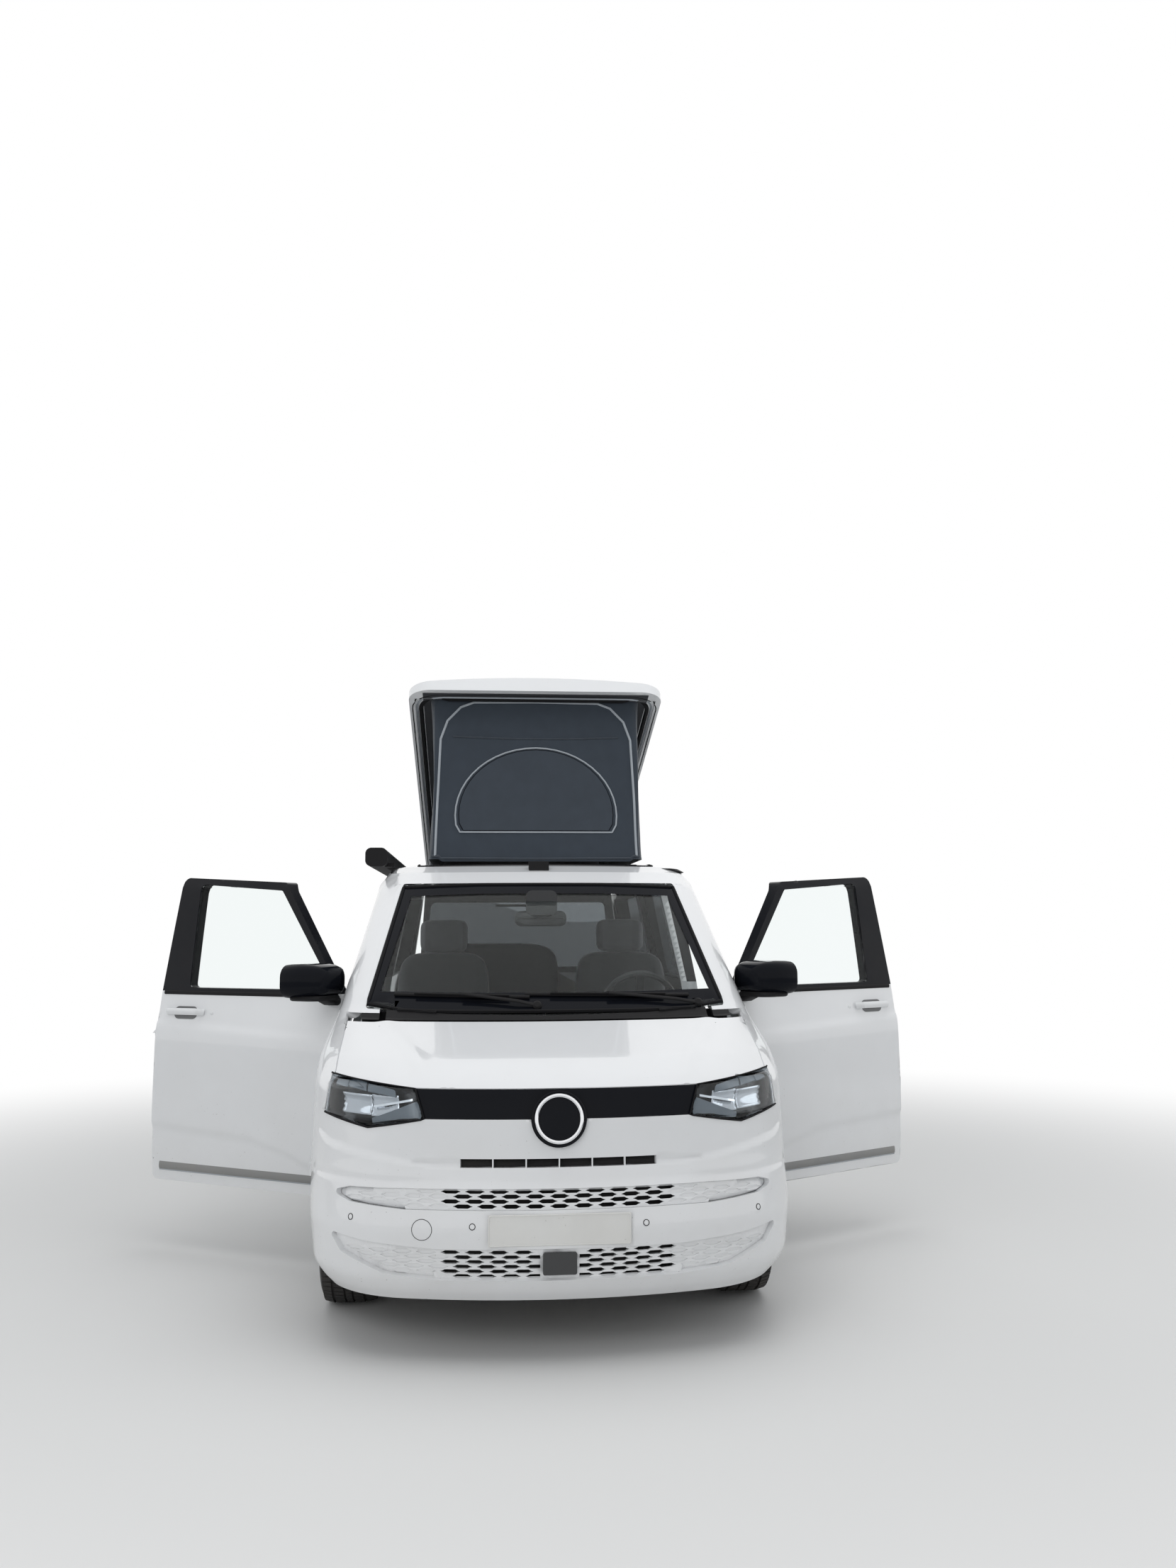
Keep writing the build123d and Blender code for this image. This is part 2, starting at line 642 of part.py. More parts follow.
# Bulkhead, scuttle shelf and the strip below the windscreen
with BuildPart() as front_cowl:
    add(outer_form)
    add(door_form, mode=Mode.SUBTRACT)
    add(
        front_prism(
            [(-799, 1180), (799, 1180), (799, 1204), (690, 1204), (690, 1235), (-690, 1235),
             (-690, 1204), (-799, 1204)], 300, 1300,
        ),
        mode=Mode.INTERSECT,
    )
    add(windscreen_block, mode=Mode.SUBTRACT)
    add(
        (box(1300, 1330, -1000, 1000, 330, 1100) + box(700, 1330, -800, 800, 1090, 1110)
         + box(880, 900, -800, 800, 1100, 1204)) & door_form
    )
    for rib_x in (-600, 0, 600):
        add(box(740, 905, rib_x - 10, rib_x + 10, 1100, 1225) & door_form)
    for side in (-1, 1):
        add(box(1290, 1340, side * 700, side * 1000, 100, wheelhouse_top), mode=Mode.SUBTRACT)
        slot_x = side * bonnet_hinge_x
        add(box(600, 870, slot_x - hinge_slot, slot_x + hinge_slot, 1112, 1215), mode=Mode.SUBTRACT)
    add(wheelhouses.part)
    for side in (-1, 1):
        with Locations((side * kingpin_x, at(front_overhang), (wheelhouse_top - wheelhouse_wall) / 2)):
            Cylinder(wheelhouse_reach, wheelhouse_top - wheelhouse_wall, mode=Mode.SUBTRACT)
        add(box(838, 862, side * 680 - 15, side * 680 + 15, 1100, 1145))
        with Locations(Location((side * 680, at(bonnet_hinge_back), bonnet_hinge_height), (0, 90, 0))):
            Cylinder(12, 30)
        with Locations(Location((side * 700, at(bonnet_hinge_back), bonnet_hinge_height), (0, 90, 0))):
            Cylinder(6, 30)
keep(front_cowl.part, "front_cowl")

# Pop-up roof: lid raised about its rear hinge, and the canvas below it
def raised(part):
    """Turn a closed lid piece up to where the roof stands."""
    axis = Axis((0, at(lid_hinge_back), lid_hinge_height), (1, 0, 0))
    return part.rotate(axis, -lid_open_angle)


with BuildPart() as lid_closed:
    with BuildSketch(Plane.XZ.offset(-at(lid_rear))):
        with BuildLine():
            Polyline(
                (-lid_half_width, lid_top - 35), (-lid_half_width, lid_bottom),
                (lid_half_width, lid_bottom), (lid_half_width, lid_top - 35),
            )
            ThreePointArc(
                (lid_half_width, lid_top - 35), (0, lid_top), (-lid_half_width, lid_top - 35)
            )
        make_face()
    extrude(amount=lid_rear - lid_front)
    fillet(lid_closed.edges().filter_by(Axis.Z).group_by(Axis.Y)[0], 120)
    with BuildSketch(Plane.XZ.offset(-at(lid_rear + 10))):
        with BuildLine():
            Polyline(
                (-lid_half_width + lid_rim, lid_top - 35 - lid_skin),
                (-lid_half_width + lid_rim, lid_bottom - 10),
                (lid_half_width - lid_rim, lid_bottom - 10),
                (lid_half_width - lid_rim, lid_top - 35 - lid_skin),
            )
            ThreePointArc(
                (lid_half_width - lid_rim, lid_top - 35 - lid_skin), (0, lid_top - lid_skin),
                (-lid_half_width + lid_rim, lid_top - 35 - lid_skin),
            )
        make_face()
    extrude(amount=lid_rear + 10 - lid_front - lid_front_solid, mode=Mode.SUBTRACT)
    for side in (-1, 1):
        with Locations(Location((side * 560, at(lid_hinge_back), lid_hinge_height), (0, 90, 0))):
            Cylinder(18, 52, mode=Mode.SUBTRACT)
        add(box(lid_hinge_back - 25, lid_hinge_back + 8, side * 597 - 8, side * 597 + 8, 1930, 1962))
        with Locations(Location((side * 597, at(lid_hinge_back), lid_hinge_height), (0, 90, 0))):
            Cylinder(13, 16)
        with Locations(Location((side * 597, at(lid_hinge_back), lid_hinge_height), (0, 90, 0))):
            Cylinder(6 + pivot_clearance, 30, mode=Mode.SUBTRACT)
with BuildPart() as roof_lid:
    add(raised(lid_closed.part))
keep(roof_lid.part, "roof_lid")

slope = tan(radians(lid_open_angle))
canvas_top_front = 2791.0
canvas_top_rear = canvas_top_front - (canvas_rear - 1944) * slope
canvas_base = roof_height + 1.5
with BuildPart() as roof_canvas:
    for grow, mode in ((0, Mode.ADD), (-canvas_thickness, Mode.SUBTRACT)):
        lift = 0 if mode is Mode.ADD else 30
        with BuildSketch(Plane.YZ.offset(-canvas_half_width - grow)):
            with BuildLine():
                Polyline(
                    (at(canvas_front - grow - lift * 92 / 900), canvas_base - lift),
                    (at(1944 - grow), canvas_top_front + lift * 2),
                    (at(canvas_rear + grow), canvas_top_rear + lift * 2),
                    (at(canvas_rear + grow), canvas_base - lift), close=True,
                )
            make_face()
        extrude(amount=2 * (canvas_half_width + grow), mode=mode)
keep(roof_canvas.part, "roof_canvas")

# Awning case along the right roof edge and the rail on the left
with BuildPart() as awning_case:
    with BuildSketch(Plane.XZ.offset(-at(1750))) as case_face:
        with Locations((-820, 1925)):
            RectangleRounded(110, 95, 30)
    extrude(amount=-2600)
    for back in (1850, 3000, 4200):
        add(box(back, back + 60, -790, -735, 1880, 1900))
    add(outer_form, mode=Mode.SUBTRACT)
keep(awning_case.part, "awning_case")
trim_outer = body_form(-12)
with BuildPart() as roof_fittings:
    add(trim_outer)
    add(side_prism([(1780, 1850), (1790, 1868), (4390, 1868), (4400, 1850)]), mode=Mode.INTERSECT)
    add(box(1600, 1660, -50, 50, 1840, 1895))
    add(outer_form, mode=Mode.SUBTRACT)
keep(roof_fittings.part, "roof_fittings")

# Cab inside
with BuildPart() as dashboard_block:
    with BuildSketch(Plane.YZ.offset(-780)):
        with BuildLine():
            Polyline(
                (at(930), 1110 + seat_gap), (at(930), 1150), (at(1180), 1185), (at(1400), 1165),
                (at(1450), 1080), (at(1420), 820), (at(1330 + seat_gap), wheelhouse_top + 20),
                (at(1330 + seat_gap), 1110 + seat_gap), close=True,
            )
        make_face()
    extrude(amount=1560)
    add(door_form, mode=Mode.INTERSECT)

wheel_centre = (490, at(1540), 1175)
column_tilt = 25
column_plane = Plane(origin=wheel_centre, z_dir=(0, cos(radians(column_tilt)), sin(radians(column_tilt))))
with BuildPart() as steering_wheel:
    with BuildSketch(Plane(origin=column_plane.origin, x_dir=column_plane.x_dir, z_dir=column_plane.y_dir)):
        with Locations((180, 0)):
            RegularPolygon(16, 8)
    revolve(axis=Axis(column_plane.origin, column_plane.z_dir))
    with BuildSketch(column_plane.offset(-12)):
        Circle(55)
        Rectangle(345, 34)
        with Locations((0, -90)):
            Rectangle(40, 170)
    extrude(amount=22)
    with BuildSketch(column_plane.offset(-12)):
        Circle(20)
    extrude(amount=-60)
keep(steering_wheel.part, "steering_wheel")
with BuildPart() as steering_column:
    with BuildSketch(column_plane.offset(-72 - seat_gap)):
        Circle(40)
    extrude(amount=-90)
keep(steering_column.part, "steering_column")
with BuildPart() as dashboard:
    add(dashboard_block.part)
    add(steering_column.part, mode=Mode.SUBTRACT)
keep(dashboard.part, "dashboard")

with BuildPart() as front_seats:
    for side in (-1, 1):
        x_in, x_out = side * 230, side * 750
        add(box(1900, 2300, side * 300, side * 680, floor_height, 740))
        add(box(1820, 2350, x_in, x_out, 740, 880))
        add(box(2290, 2420, x_in, x_out, 800, 1420))
        add(box(2320, 2400, side * 370, side * 610, 1420, 1600))
keep(front_seats.part, "front_seats")
with BuildPart() as camper_cabinet:
    add(box(2900, 4900, 300, 800, floor_height, 1230))
    add(frame_form, mode=Mode.INTERSECT)
    add(box(3630 - 10, 4480, 640, 900, 400, 810), mode=Mode.SUBTRACT)
keep(camper_cabinet.part, "camper_cabinet")
with BuildPart() as rear_bench:
    add(box(3500, 4100, -640, 250, floor_height, 900))
    add(box(4000, 4150, -640, 250, 880, 1450))
keep(rear_bench.part, "rear_bench")

# Engine as one plain block, carried by the front frame
with BuildPart() as engine_block:
    add(box(260, 860, -380, 380, 380, 900))
keep(engine_block.part, "engine_block")

arm_height = 215.0
with BuildPart() as front_frame:
    for side in (-1, 1):
        add(box(150, 1300, side * 400, side * 450, 380, 540))
        add(box(880, 970, side * 400, side * 450, 200, 820))
        add(box(880, 970, side * 440, side * 720, 806, 820))
        add(box(890, 960, side * 400, side * (kingpin_x + 25), arm_height - 30, arm_height - 5))
        with Locations((side * kingpin_x, at(front_overhang), arm_height + 5)):
            Cylinder(10, 30)
    add(box(150, 200, -640, 640, 420, 540))
    add(box(880, 970, -450, 450, 200, 260))
    add(box(300, 860, -440, 440, 350, 380))
    add(box(1260, 1300, -450, 450, 380, 540))
keep(front_frame.part, "front_frame")

with BuildPart() as knuckle_left:
    add(box(885, 965, kingpin_x - 25, kingpin_x + 25, arm_height - 4, 480))
    with Locations((kingpin_x, at(front_overhang), 640)):
        Cylinder(28, 331)
    with Locations(Location((kingpin_x + 75, at(front_overhang), axle_height), (0, 90, 0))):
        Cylinder(22, 150)
    with Locations(Location((kingpin_x + 175, at(front_overhang), axle_height), (0, 90, 0))):
        Cylinder(22, 60)
    with Locations((kingpin_x, at(front_overhang), arm_height + 5)):
        Cylinder(10 + pivot_clearance, 34, mode=Mode.SUBTRACT)
keep(knuckle_left.part, "knuckle_left")
with BuildPart() as knuckle_right:
    mirror(knuckle_left.part, about=Plane.YZ)
keep(knuckle_right.part, "knuckle_right")

with BuildPart() as rear_axle:
    with Locations(Location((0, at(rear_wheel_back), axle_height), (0, 90, 0))):
        Cylinder(38, 1280)
        Cylinder(22, 2 * (kingpin_x + 205))
    for side in (-1, 1):
        add(box(rear_wheel_back - 45, rear_wheel_back + 45, side * 470, side * 560, 340, 440))
keep(rear_axle.part, "rear_axle")

# Half of the tyre's section, as (radius, distance from its middle plane)
tyre_section = [
    (rim_radius, tyre_width / 2 - 18),
    (rim_radius + 60, tyre_width / 2),
    tyre_edge,
    (tyre_radius, tyre_width / 2 - 34),
]
rim_wall = 18

for word, side, back in (
    ("front_left", 1, front_overhang), ("front_right", -1, front_overhang),
    ("rear_left", 1, rear_wheel_back), ("rear_right", -1, rear_wheel_back),
):
    spin = Axis((side * wheel_x, at(back), axle_height), (1, 0, 0))
    hub_plane = Plane(origin=(side * wheel_x, at(back), axle_height), x_dir=(0, 0, 1), z_dir=(0, -1, 0))
    with BuildPart() as tyre:
        with BuildSketch(hub_plane):
            with BuildLine():
                Polyline(tyre_section + [(radius, -half) for radius, half in reversed(tyre_section)], close=True)
            make_face()
        revolve(axis=spin)
    keep(tyre.part, f"tyre_{word}")
    with BuildPart() as rim:
        with BuildSketch(hub_plane) as rim_face:
            with Locations((rim_radius - rim_wall / 2, 0)):
                Rectangle(rim_wall, tyre_width - 20)
        revolve(axis=spin)
        with BuildSketch(Plane(origin=(side * (wheel_x + 60), at(back), axle_height), x_dir=(0, 1, 0), z_dir=(side, 0, 0))):
            Circle(rim_radius - 12)
            with PolarLocations(135, 5):
                Circle(48, mode=Mode.SUBTRACT)
        extrude(amount=30)
        with Locations(Location((side * (wheel_x + 20), at(back), axle_height), (0, 90, 0))):
            Cylinder(70, 100)
        with Locations(Location((side * (wheel_x + 5), at(back), axle_height), (0, 90, 0))):
            Cylinder(22 + pivot_clearance, 90, mode=Mode.SUBTRACT)
    keep(rim.part, f"rim_{word}")

with BuildPart() as plate_front:
    add(box(0.4, 6, -260, 260, 422, 533))
keep(plate_front.part, "plate_front")
with BuildPart() as plate_rear:
    add(box(overall_length - 52, overall_length - 46, -260, 260, 680, 790))
keep(plate_rear.part, "plate_rear")
wiper_outer = body_form(-16)
wiper_inner = body_form(glass_inset - seat_gap)
with BuildPart() as wipers:
    add(wiper_outer)
    add(wiper_inner, mode=Mode.SUBTRACT)
    add(
        front_prism([(-620, 1226), (-30, 1212), (-30, 1222), (-620, 1236)], 300, 1300)
        + front_prism([(30, 1212), (640, 1226), (640, 1236), (30, 1222)], 300, 1300),
        mode=Mode.INTERSECT,
    )
keep(wipers.part, "wipers")
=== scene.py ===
"""Looks of a five-metre camper van, parked with its roof raised and both front doors open.

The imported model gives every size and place. Each class below dresses one sub-assembly: it lays
formed skins over the plain panels, adds the trim that the solids leave out, and gives every
surface its finish. Lengths are in metres, +Z is up, the nose points along -Y, and +X is the
driver's side.
"""
from __future__ import annotations

import json
import logging
import math
from collections.abc import Callable, Sequence
from dataclasses import dataclass, field, replace
from enum import Enum

import bmesh
import bpy
from mathutils import Matrix, Vector, geometry, noise
from mathutils.bvhtree import BVHTree

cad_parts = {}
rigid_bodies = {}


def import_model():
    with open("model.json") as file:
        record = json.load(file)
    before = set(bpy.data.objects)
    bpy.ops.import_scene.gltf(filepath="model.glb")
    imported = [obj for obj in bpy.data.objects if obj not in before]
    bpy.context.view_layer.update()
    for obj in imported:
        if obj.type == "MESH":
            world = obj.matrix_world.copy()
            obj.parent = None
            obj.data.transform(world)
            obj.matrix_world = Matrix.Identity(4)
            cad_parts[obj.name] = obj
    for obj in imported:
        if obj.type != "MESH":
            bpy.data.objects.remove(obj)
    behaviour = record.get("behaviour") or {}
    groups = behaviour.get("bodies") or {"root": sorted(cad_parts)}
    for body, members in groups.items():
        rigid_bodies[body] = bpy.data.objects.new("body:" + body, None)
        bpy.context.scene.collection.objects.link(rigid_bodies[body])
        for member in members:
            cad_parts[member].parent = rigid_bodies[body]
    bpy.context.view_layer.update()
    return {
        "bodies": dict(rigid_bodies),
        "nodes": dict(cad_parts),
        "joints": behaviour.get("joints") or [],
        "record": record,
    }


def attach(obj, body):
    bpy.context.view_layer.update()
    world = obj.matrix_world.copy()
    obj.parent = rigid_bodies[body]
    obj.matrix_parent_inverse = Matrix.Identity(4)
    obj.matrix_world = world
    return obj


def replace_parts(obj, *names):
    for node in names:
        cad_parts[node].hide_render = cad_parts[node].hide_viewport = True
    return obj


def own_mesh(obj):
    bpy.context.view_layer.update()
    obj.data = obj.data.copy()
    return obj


log = logging.getLogger("camper")

HALF_LENGTH = 2.5865
SMOOTH_ANGLE = math.radians(32)
MM = 0.001
TINY = 1e-6
FAR = 6.0
BESIDE = 1.6
SIDES = ((1, "left"), (-1, "right"))

Mesh = bmesh.types.BMesh
Object = bpy.types.Object
Socket = bpy.types.NodeSocket
Nodes = dict[str, Object]
Point = tuple[float, float, float]
Flat = tuple[float, float]
Line = Sequence[Flat]
Relief = Callable[[float, float, float], float]


def place(x: float, back: float, height: float) -> Vector:
    """A point from the middle plane, the nose and the ground."""
    return Vector((x, back - HALF_LENGTH, height))


def smoothstep(low: float, high: float, value: float) -> float:
    """Blend from 0 at low to 1 at high with flat ends."""
    share = min(max((value - low) / (high - low), 0.0), 1.0)
    return share * share * (3 - 2 * share)


def along(table: Line, value: float) -> float:
    """Read a table of (input, output) rows with a straight line between its rows.

    Args:
        table: Rows sorted by input.
        value: Where to read it.

    Returns:
        The output, held at the ends.
    """
    if value <= table[0][0]:
        return table[0][1]
    for (x0, y0), (x1, y1) in zip(table, table[1:]):
        if value <= x1:
            return y0 + (y1 - y0) * (value - x0) / (x1 - x0)
    return table[-1][1]


def spaced(start: float, run: float, parts: int) -> list[float]:
    """Values from a start along a run, in equal parts."""
    return [start + run * k / parts for k in range(parts + 1)]


def opaque(colour: Sequence[float]) -> tuple[float, ...]:
    """A colour with full cover."""
    return (*colour, 1.0)


class Wiring:
    """Adds nodes to one shader tree and joins them."""

    def __init__(self, tree: bpy.types.NodeTree) -> None:
        """Keep the tree to work on."""
        self.tree = tree

    def add(self, kind: str, sockets: dict[str | int, object], **settings: object) -> bpy.types.Node:
        """Add one node.

        Args:
            kind: Its type, without the words that all shader nodes start with.
            sockets: What each input holds or is joined to, by label or number.
            **settings: The node's own settings.

        Returns:
            The node.
        """
        node = self.tree.nodes.new(f"ShaderNode{kind}")
        for label, value in settings.items():
            setattr(node, label, value)
        self.fill(node, sockets)
        return node

    def fill(self, node: bpy.types.Node, sockets: dict[str | int, object]) -> None:
        """Set a node's inputs, or join them to other nodes.

        Args:
            node: The node.
            sockets: What each input holds or is joined to, by label or number.
        """
        for label, value in sockets.items():
            if isinstance(value, Socket):
                self.tree.links.new(value, node.inputs[label])
            else:
                node.inputs[label].default_value = value

    def maths(self, operation: str, first: object, second: object = 0.0, clamp: bool = False) -> Socket:
        """Work out a value from two others."""
        return self.add("Math", {0: first, 1: second}, operation=operation, use_clamp=clamp).outputs[0]

    def above(self, value: Socket, floor: float, gain: float) -> Socket:
        """What lies above a floor, scaled up and held to 1."""
        return self.maths("MULTIPLY", self.maths("SUBTRACT", value, floor), gain, clamp=True)

    def noise(self, vector: Socket, scale: object, detail: float, roughness: float = 0.5) -> Socket:
        """A cloudy value that repeats so many times in a metre."""
        sockets = {"Vector": vector, "Scale": scale, "Detail": detail, "Roughness": roughness}
        return self.add("TexNoise", sockets).outputs["Fac"]

    def mix(self, share: Socket, first: object, second: object) -> Socket:
        """Blend two colours by a share."""
        return self.add("Mix", {"Factor": share, "A": first, "B": second}, data_type="RGBA").outputs["Result"]

    def ramp(self, value: Socket, source: Flat, target: Flat, kind: str = "LINEAR") -> Socket:
        """Map a value from one range to another."""
        limits = {"From Min": source[0], "From Max": source[1], "To Min": target[0], "To Max": target[1]}
        return self.add("MapRange", {"Value": value, **limits}, interpolation_type=kind).outputs["Result"]

    def where(self) -> Socket:
        """The place on the object."""
        return self.add("TexCoord", {}).outputs["Object"]

    def axes(self) -> bpy.types.NodeOutputs:
        """The place on the object, one value for each axis."""
        return self.add("SeparateXYZ", {0: self.where()}).outputs

    def ray_is(self, *kinds: str) -> Socket:
        """1 for a ray of one of these kinds, else 0."""
        path = self.add("LightPath", {}).outputs
        seen = path[f"Is {kinds[0]} Ray"]
        for kind in kinds[1:]:
            seen = self.maths("MAXIMUM", seen, path[f"Is {kind} Ray"])
        return seen

    def show(self, share: Socket, first: bpy.types.Node, second: bpy.types.Node, output: str) -> None:
        """Blend two shaders by a share and send them to the output node of that name."""
        mix = self.add("MixShader", {"Fac": share, 1: first.outputs[0], 2: second.outputs[0]})
        self.fill(self.tree.nodes[output], {"Surface": mix.outputs[0]})


class Pattern(Enum):
    """What kind of fine relief a finish carries."""

    PEEL = "paint_peel"
    GRAIN = "moulded_grain"
    WEAVE = "woven_cloth"
    BOARD = "board_grain"


class SharedEffects:
    """Node groups that several finishes use, each built once."""

    def __init__(self) -> None:
        """Start with no group built."""
        self.groups: dict[str, bpy.types.NodeTree] = {}

    def _open(
        self, name: str, inputs: Sequence[tuple[str, str, object]], outputs: Sequence[tuple[str, str]]
    ) -> tuple[Wiring, bpy.types.NodeOutputs, bpy.types.Node]:
        """Make an empty group with its sockets.

        Args:
            name: The group's name.
            inputs: Rows of name, socket type and default.
            outputs: Rows of name and socket type.

        Returns:
            Its wiring, what comes in, and the node that goes out.
        """
        tree = bpy.data.node_groups.new(name, "ShaderNodeTree")
        for label, kind, default in inputs:
            socket = tree.interface.new_socket(label, in_out="INPUT", socket_type=f"NodeSocket{kind}")
            socket.default_value = default
        for label, kind in outputs:
            tree.interface.new_socket(label, in_out="OUTPUT", socket_type=f"NodeSocket{kind}")
        self.groups[name] = tree
        return Wiring(tree), tree.nodes.new("NodeGroupInput").outputs, tree.nodes.new("NodeGroupOutput")

    def road_film(self) -> bpy.types.NodeTree:
        """Dust that gathers low down, with fine dark specks thrown up from the road.

        Returns:
            A group with Color, Film, Amount and Roughness in, and Color and Roughness out.
        """
        if "road_film" in self.groups:
            return self.groups["road_film"]
        grey, dust, speck = (0.8, 0.8, 0.8), (0.42, 0.36, 0.29), (0.09, 0.06, 0.04)
        wires, start, end = self._open(
            "road_film",
            [
                ("Color", "Color", opaque(grey)), ("Film", "Color", opaque(dust)),
                ("Amount", "Float", 0.2), ("Roughness", "Float", 0.3),
            ],
            [("Color", "Color"), ("Roughness", "Float")],
        )
        where = wires.where()
        low = wires.ramp(wires.axes()["Z"], (0.15, 1.1), (1.0, 0.12))
        cloud = wires.above(wires.noise(where, 3.5, 6.0, 0.62), 0.28, 1.9)
        share = wires.maths("MULTIPLY", wires.maths("MULTIPLY", cloud, low), start["Amount"], clamp=True)
        specks = wires.above(wires.noise(where, 95.0, 1.0), 0.735, 30.0)
        patch = wires.above(wires.noise(where, 6.0, 1.0), 0.42, 4.0)
        thrown = wires.maths("MULTIPLY", start["Amount"], 3.0, clamp=True)
        for factor in (patch, thrown, low):
            specks = wires.maths("MULTIPLY", specks, factor)
        dusty = wires.mix(share, start["Color"], start["Film"])
        rough = wires.maths("ADD", start["Roughness"], wires.maths("MULTIPLY", share, 0.5), clamp=True)
        wires.fill(end, {"Color": wires.mix(specks, dusty, opaque(speck)), "Roughness": rough})
        return wires.tree

    def relief(self, pattern: Pattern) -> bpy.types.NodeTree:
        """Fine surface relief of one kind.

        Args:
            pattern: Which relief.

        Returns:
            A group with Scale in, repeats per metre, and Height and Shade out.
        """
        name = pattern.value
        if name in self.groups:
            return self.groups[name]
        outputs = [("Height", "Float"), ("Shade", "Float")]
        wires, start, end = self._open(name, [("Scale", "Float", 200.0)], outputs)
        where, scale = wires.where(), start["Scale"]
        if pattern is Pattern.WEAVE:
            axes = wires.axes()
            turn = wires.maths("MULTIPLY", scale, 2 * math.pi)
            across = wires.maths("ADD", axes["X"], axes["Y"])
            warp = wires.maths("SINE", wires.maths("MULTIPLY", across, turn))
            weft = wires.maths("SINE", wires.maths("MULTIPLY", axes["Z"], turn))
            height = wires.maths("MAXIMUM", warp, weft)
            shade = wires.noise(where, 14.0, 4.0)
        elif pattern is Pattern.BOARD:
            stretch = wires.add("Mapping", {"Vector": where, "Scale": (1.0, 0.06, 1.0)})
            height = wires.noise(stretch.outputs["Vector"], scale, 5.0, 0.6)
            shade = height
        else:
            height = wires.noise(where, scale, 1.0 if pattern is Pattern.PEEL else 3.0)
            shade = wires.noise(where, 9.0, 3.0)
        wires.fill(end, {"Height": height, "Shade": shade})
        return wires.tree


EFFECTS = SharedEffects()


@dataclass(frozen=True)
class Finish:
    """One surface finish of the van and how to build it.

    Colours are linear. Relief is the height of the pattern in millimetres, and scale is how
    often it repeats in a metre.
    """

    name: str
    colour: Point
    roughness: float
    metallic: float = 0.0
    coat: float = 0.0
    transmission: float = 0.0
    refraction: float = 1.5
    sheen: float = 0.0
    pattern: Pattern = Pattern.GRAIN
    scale: float = 700.0
    relief: float = 0.02
    mottle: float = 0.06
    film: float = 0.0
    coat_roughness: float = 0.04
    shadow_share: float = 0.75
    zone_colour: Point | None = None
    zone_height: Flat = (0.0, 9.0)
    zone_behind: float = -9.0
    zone_coat: float = 0.12
    zone_gleam: Flat = (0.5, 0.10)

    def material(self) -> bpy.types.Material:
        """Build the material, or return it if it is there already."""
        made = bpy.data.materials.get(f"finish_{self.name}")
        if made:
            return made
        made = bpy.data.materials.new(f"finish_{self.name}")
        made.use_nodes = True
        made.diffuse_color = opaque(self.colour)
        wires = Wiring(made.node_tree)
        shader = made.node_tree.nodes["Principled BSDF"]
        wires.fill(shader, {
            "Metallic": self.metallic, "Coat Weight": self.coat, "Coat Roughness": self.coat_roughness,
            "Transmission Weight": self.transmission, "IOR": self.refraction, "Sheen Weight": self.sheen,
            "Roughness": self.roughness, "Base Color": opaque(self.colour),
        })
        if self.transmission > 0:
            self._light_through(wires, shader)
        else:
            self._surface(wires, shader)
        return made

    def _light_through(self, wires: Wiring, shader: bpy.types.Node) -> None:
        """Let daylight pass straight through glass, dimmed by its colour.

        Args:
            wires: The material's tree.
            shader: Its main shader.
        """
        dimmed = opaque([c * self.shadow_share for c in self.colour])
        clear = wires.add("BsdfTransparent", {"Color": dimmed})
        wires.show(wires.ray_is("Shadow", "Diffuse"), shader, clear, "Material Output")

    def _surface(self, wires: Wiring, shader: bpy.types.Node) -> None:
        """Add the pattern, the second colour of a zone and the road film.

        Args:
            wires: The material's tree.
            shader: Its main shader.
        """
        relief = wires.add("Group", {"Scale": self.scale}, node_tree=EFFECTS.relief(self.pattern)).outputs
        dark = [c * (1 - self.mottle) for c in self.colour]
        light = [min(c * (1 + self.mottle), 1.0) for c in self.colour]
        colour = wires.mix(relief["Shade"], opaque(dark), opaque(light))
        if self.zone_colour is not None:
            colour = self._zone(wires, shader, colour)
        if self.film:
            sockets = {"Amount": self.film, "Roughness": self.roughness, "Color": colour}
            film = wires.add("Group", sockets, node_tree=EFFECTS.road_film()).outputs
            colour = film["Color"]
            wires.fill(shader, {"Roughness": film["Roughness"]})
        wires.fill(shader, {"Base Color": colour})
        if self.relief:
            sockets = {"Strength": 1.0, "Distance": self.relief * MM, "Height": relief["Height"]}
            wires.fill(shader, {"Normal": wires.add("Bump", sockets).outputs["Normal"]})

    def _zone(self, wires: Wiring, shader: bpy.types.Node, colour: Socket) -> Socket:
        """Give one band of the panel its own colour and a duller coat.

        Args:
            wires: The material's tree.
            shader: Its main shader.
            colour: The colour outside the band.

        Returns:
            The colour socket.
        """
        axes = wires.axes()
        share = wires.maths("GREATER_THAN", axes["Z"], self.zone_height[0])
        for limit in (
            wires.maths("LESS_THAN", axes["Z"], self.zone_height[1]),
            wires.maths("GREATER_THAN", axes["Y"], self.zone_behind),
        ):
            share = wires.maths("MULTIPLY", share, limit)
        wires.fill(shader, {
            "Coat Weight": wires.ramp(share, (0.0, 1.0), (self.coat, self.zone_coat)),
            "Specular IOR Level": wires.ramp(share, (0.0, 1.0), self.zone_gleam),
        })
        return wires.mix(share, colour, opaque(self.zone_colour))


BLACK_GLOSS_COLOUR = (0.006, 0.007, 0.010)

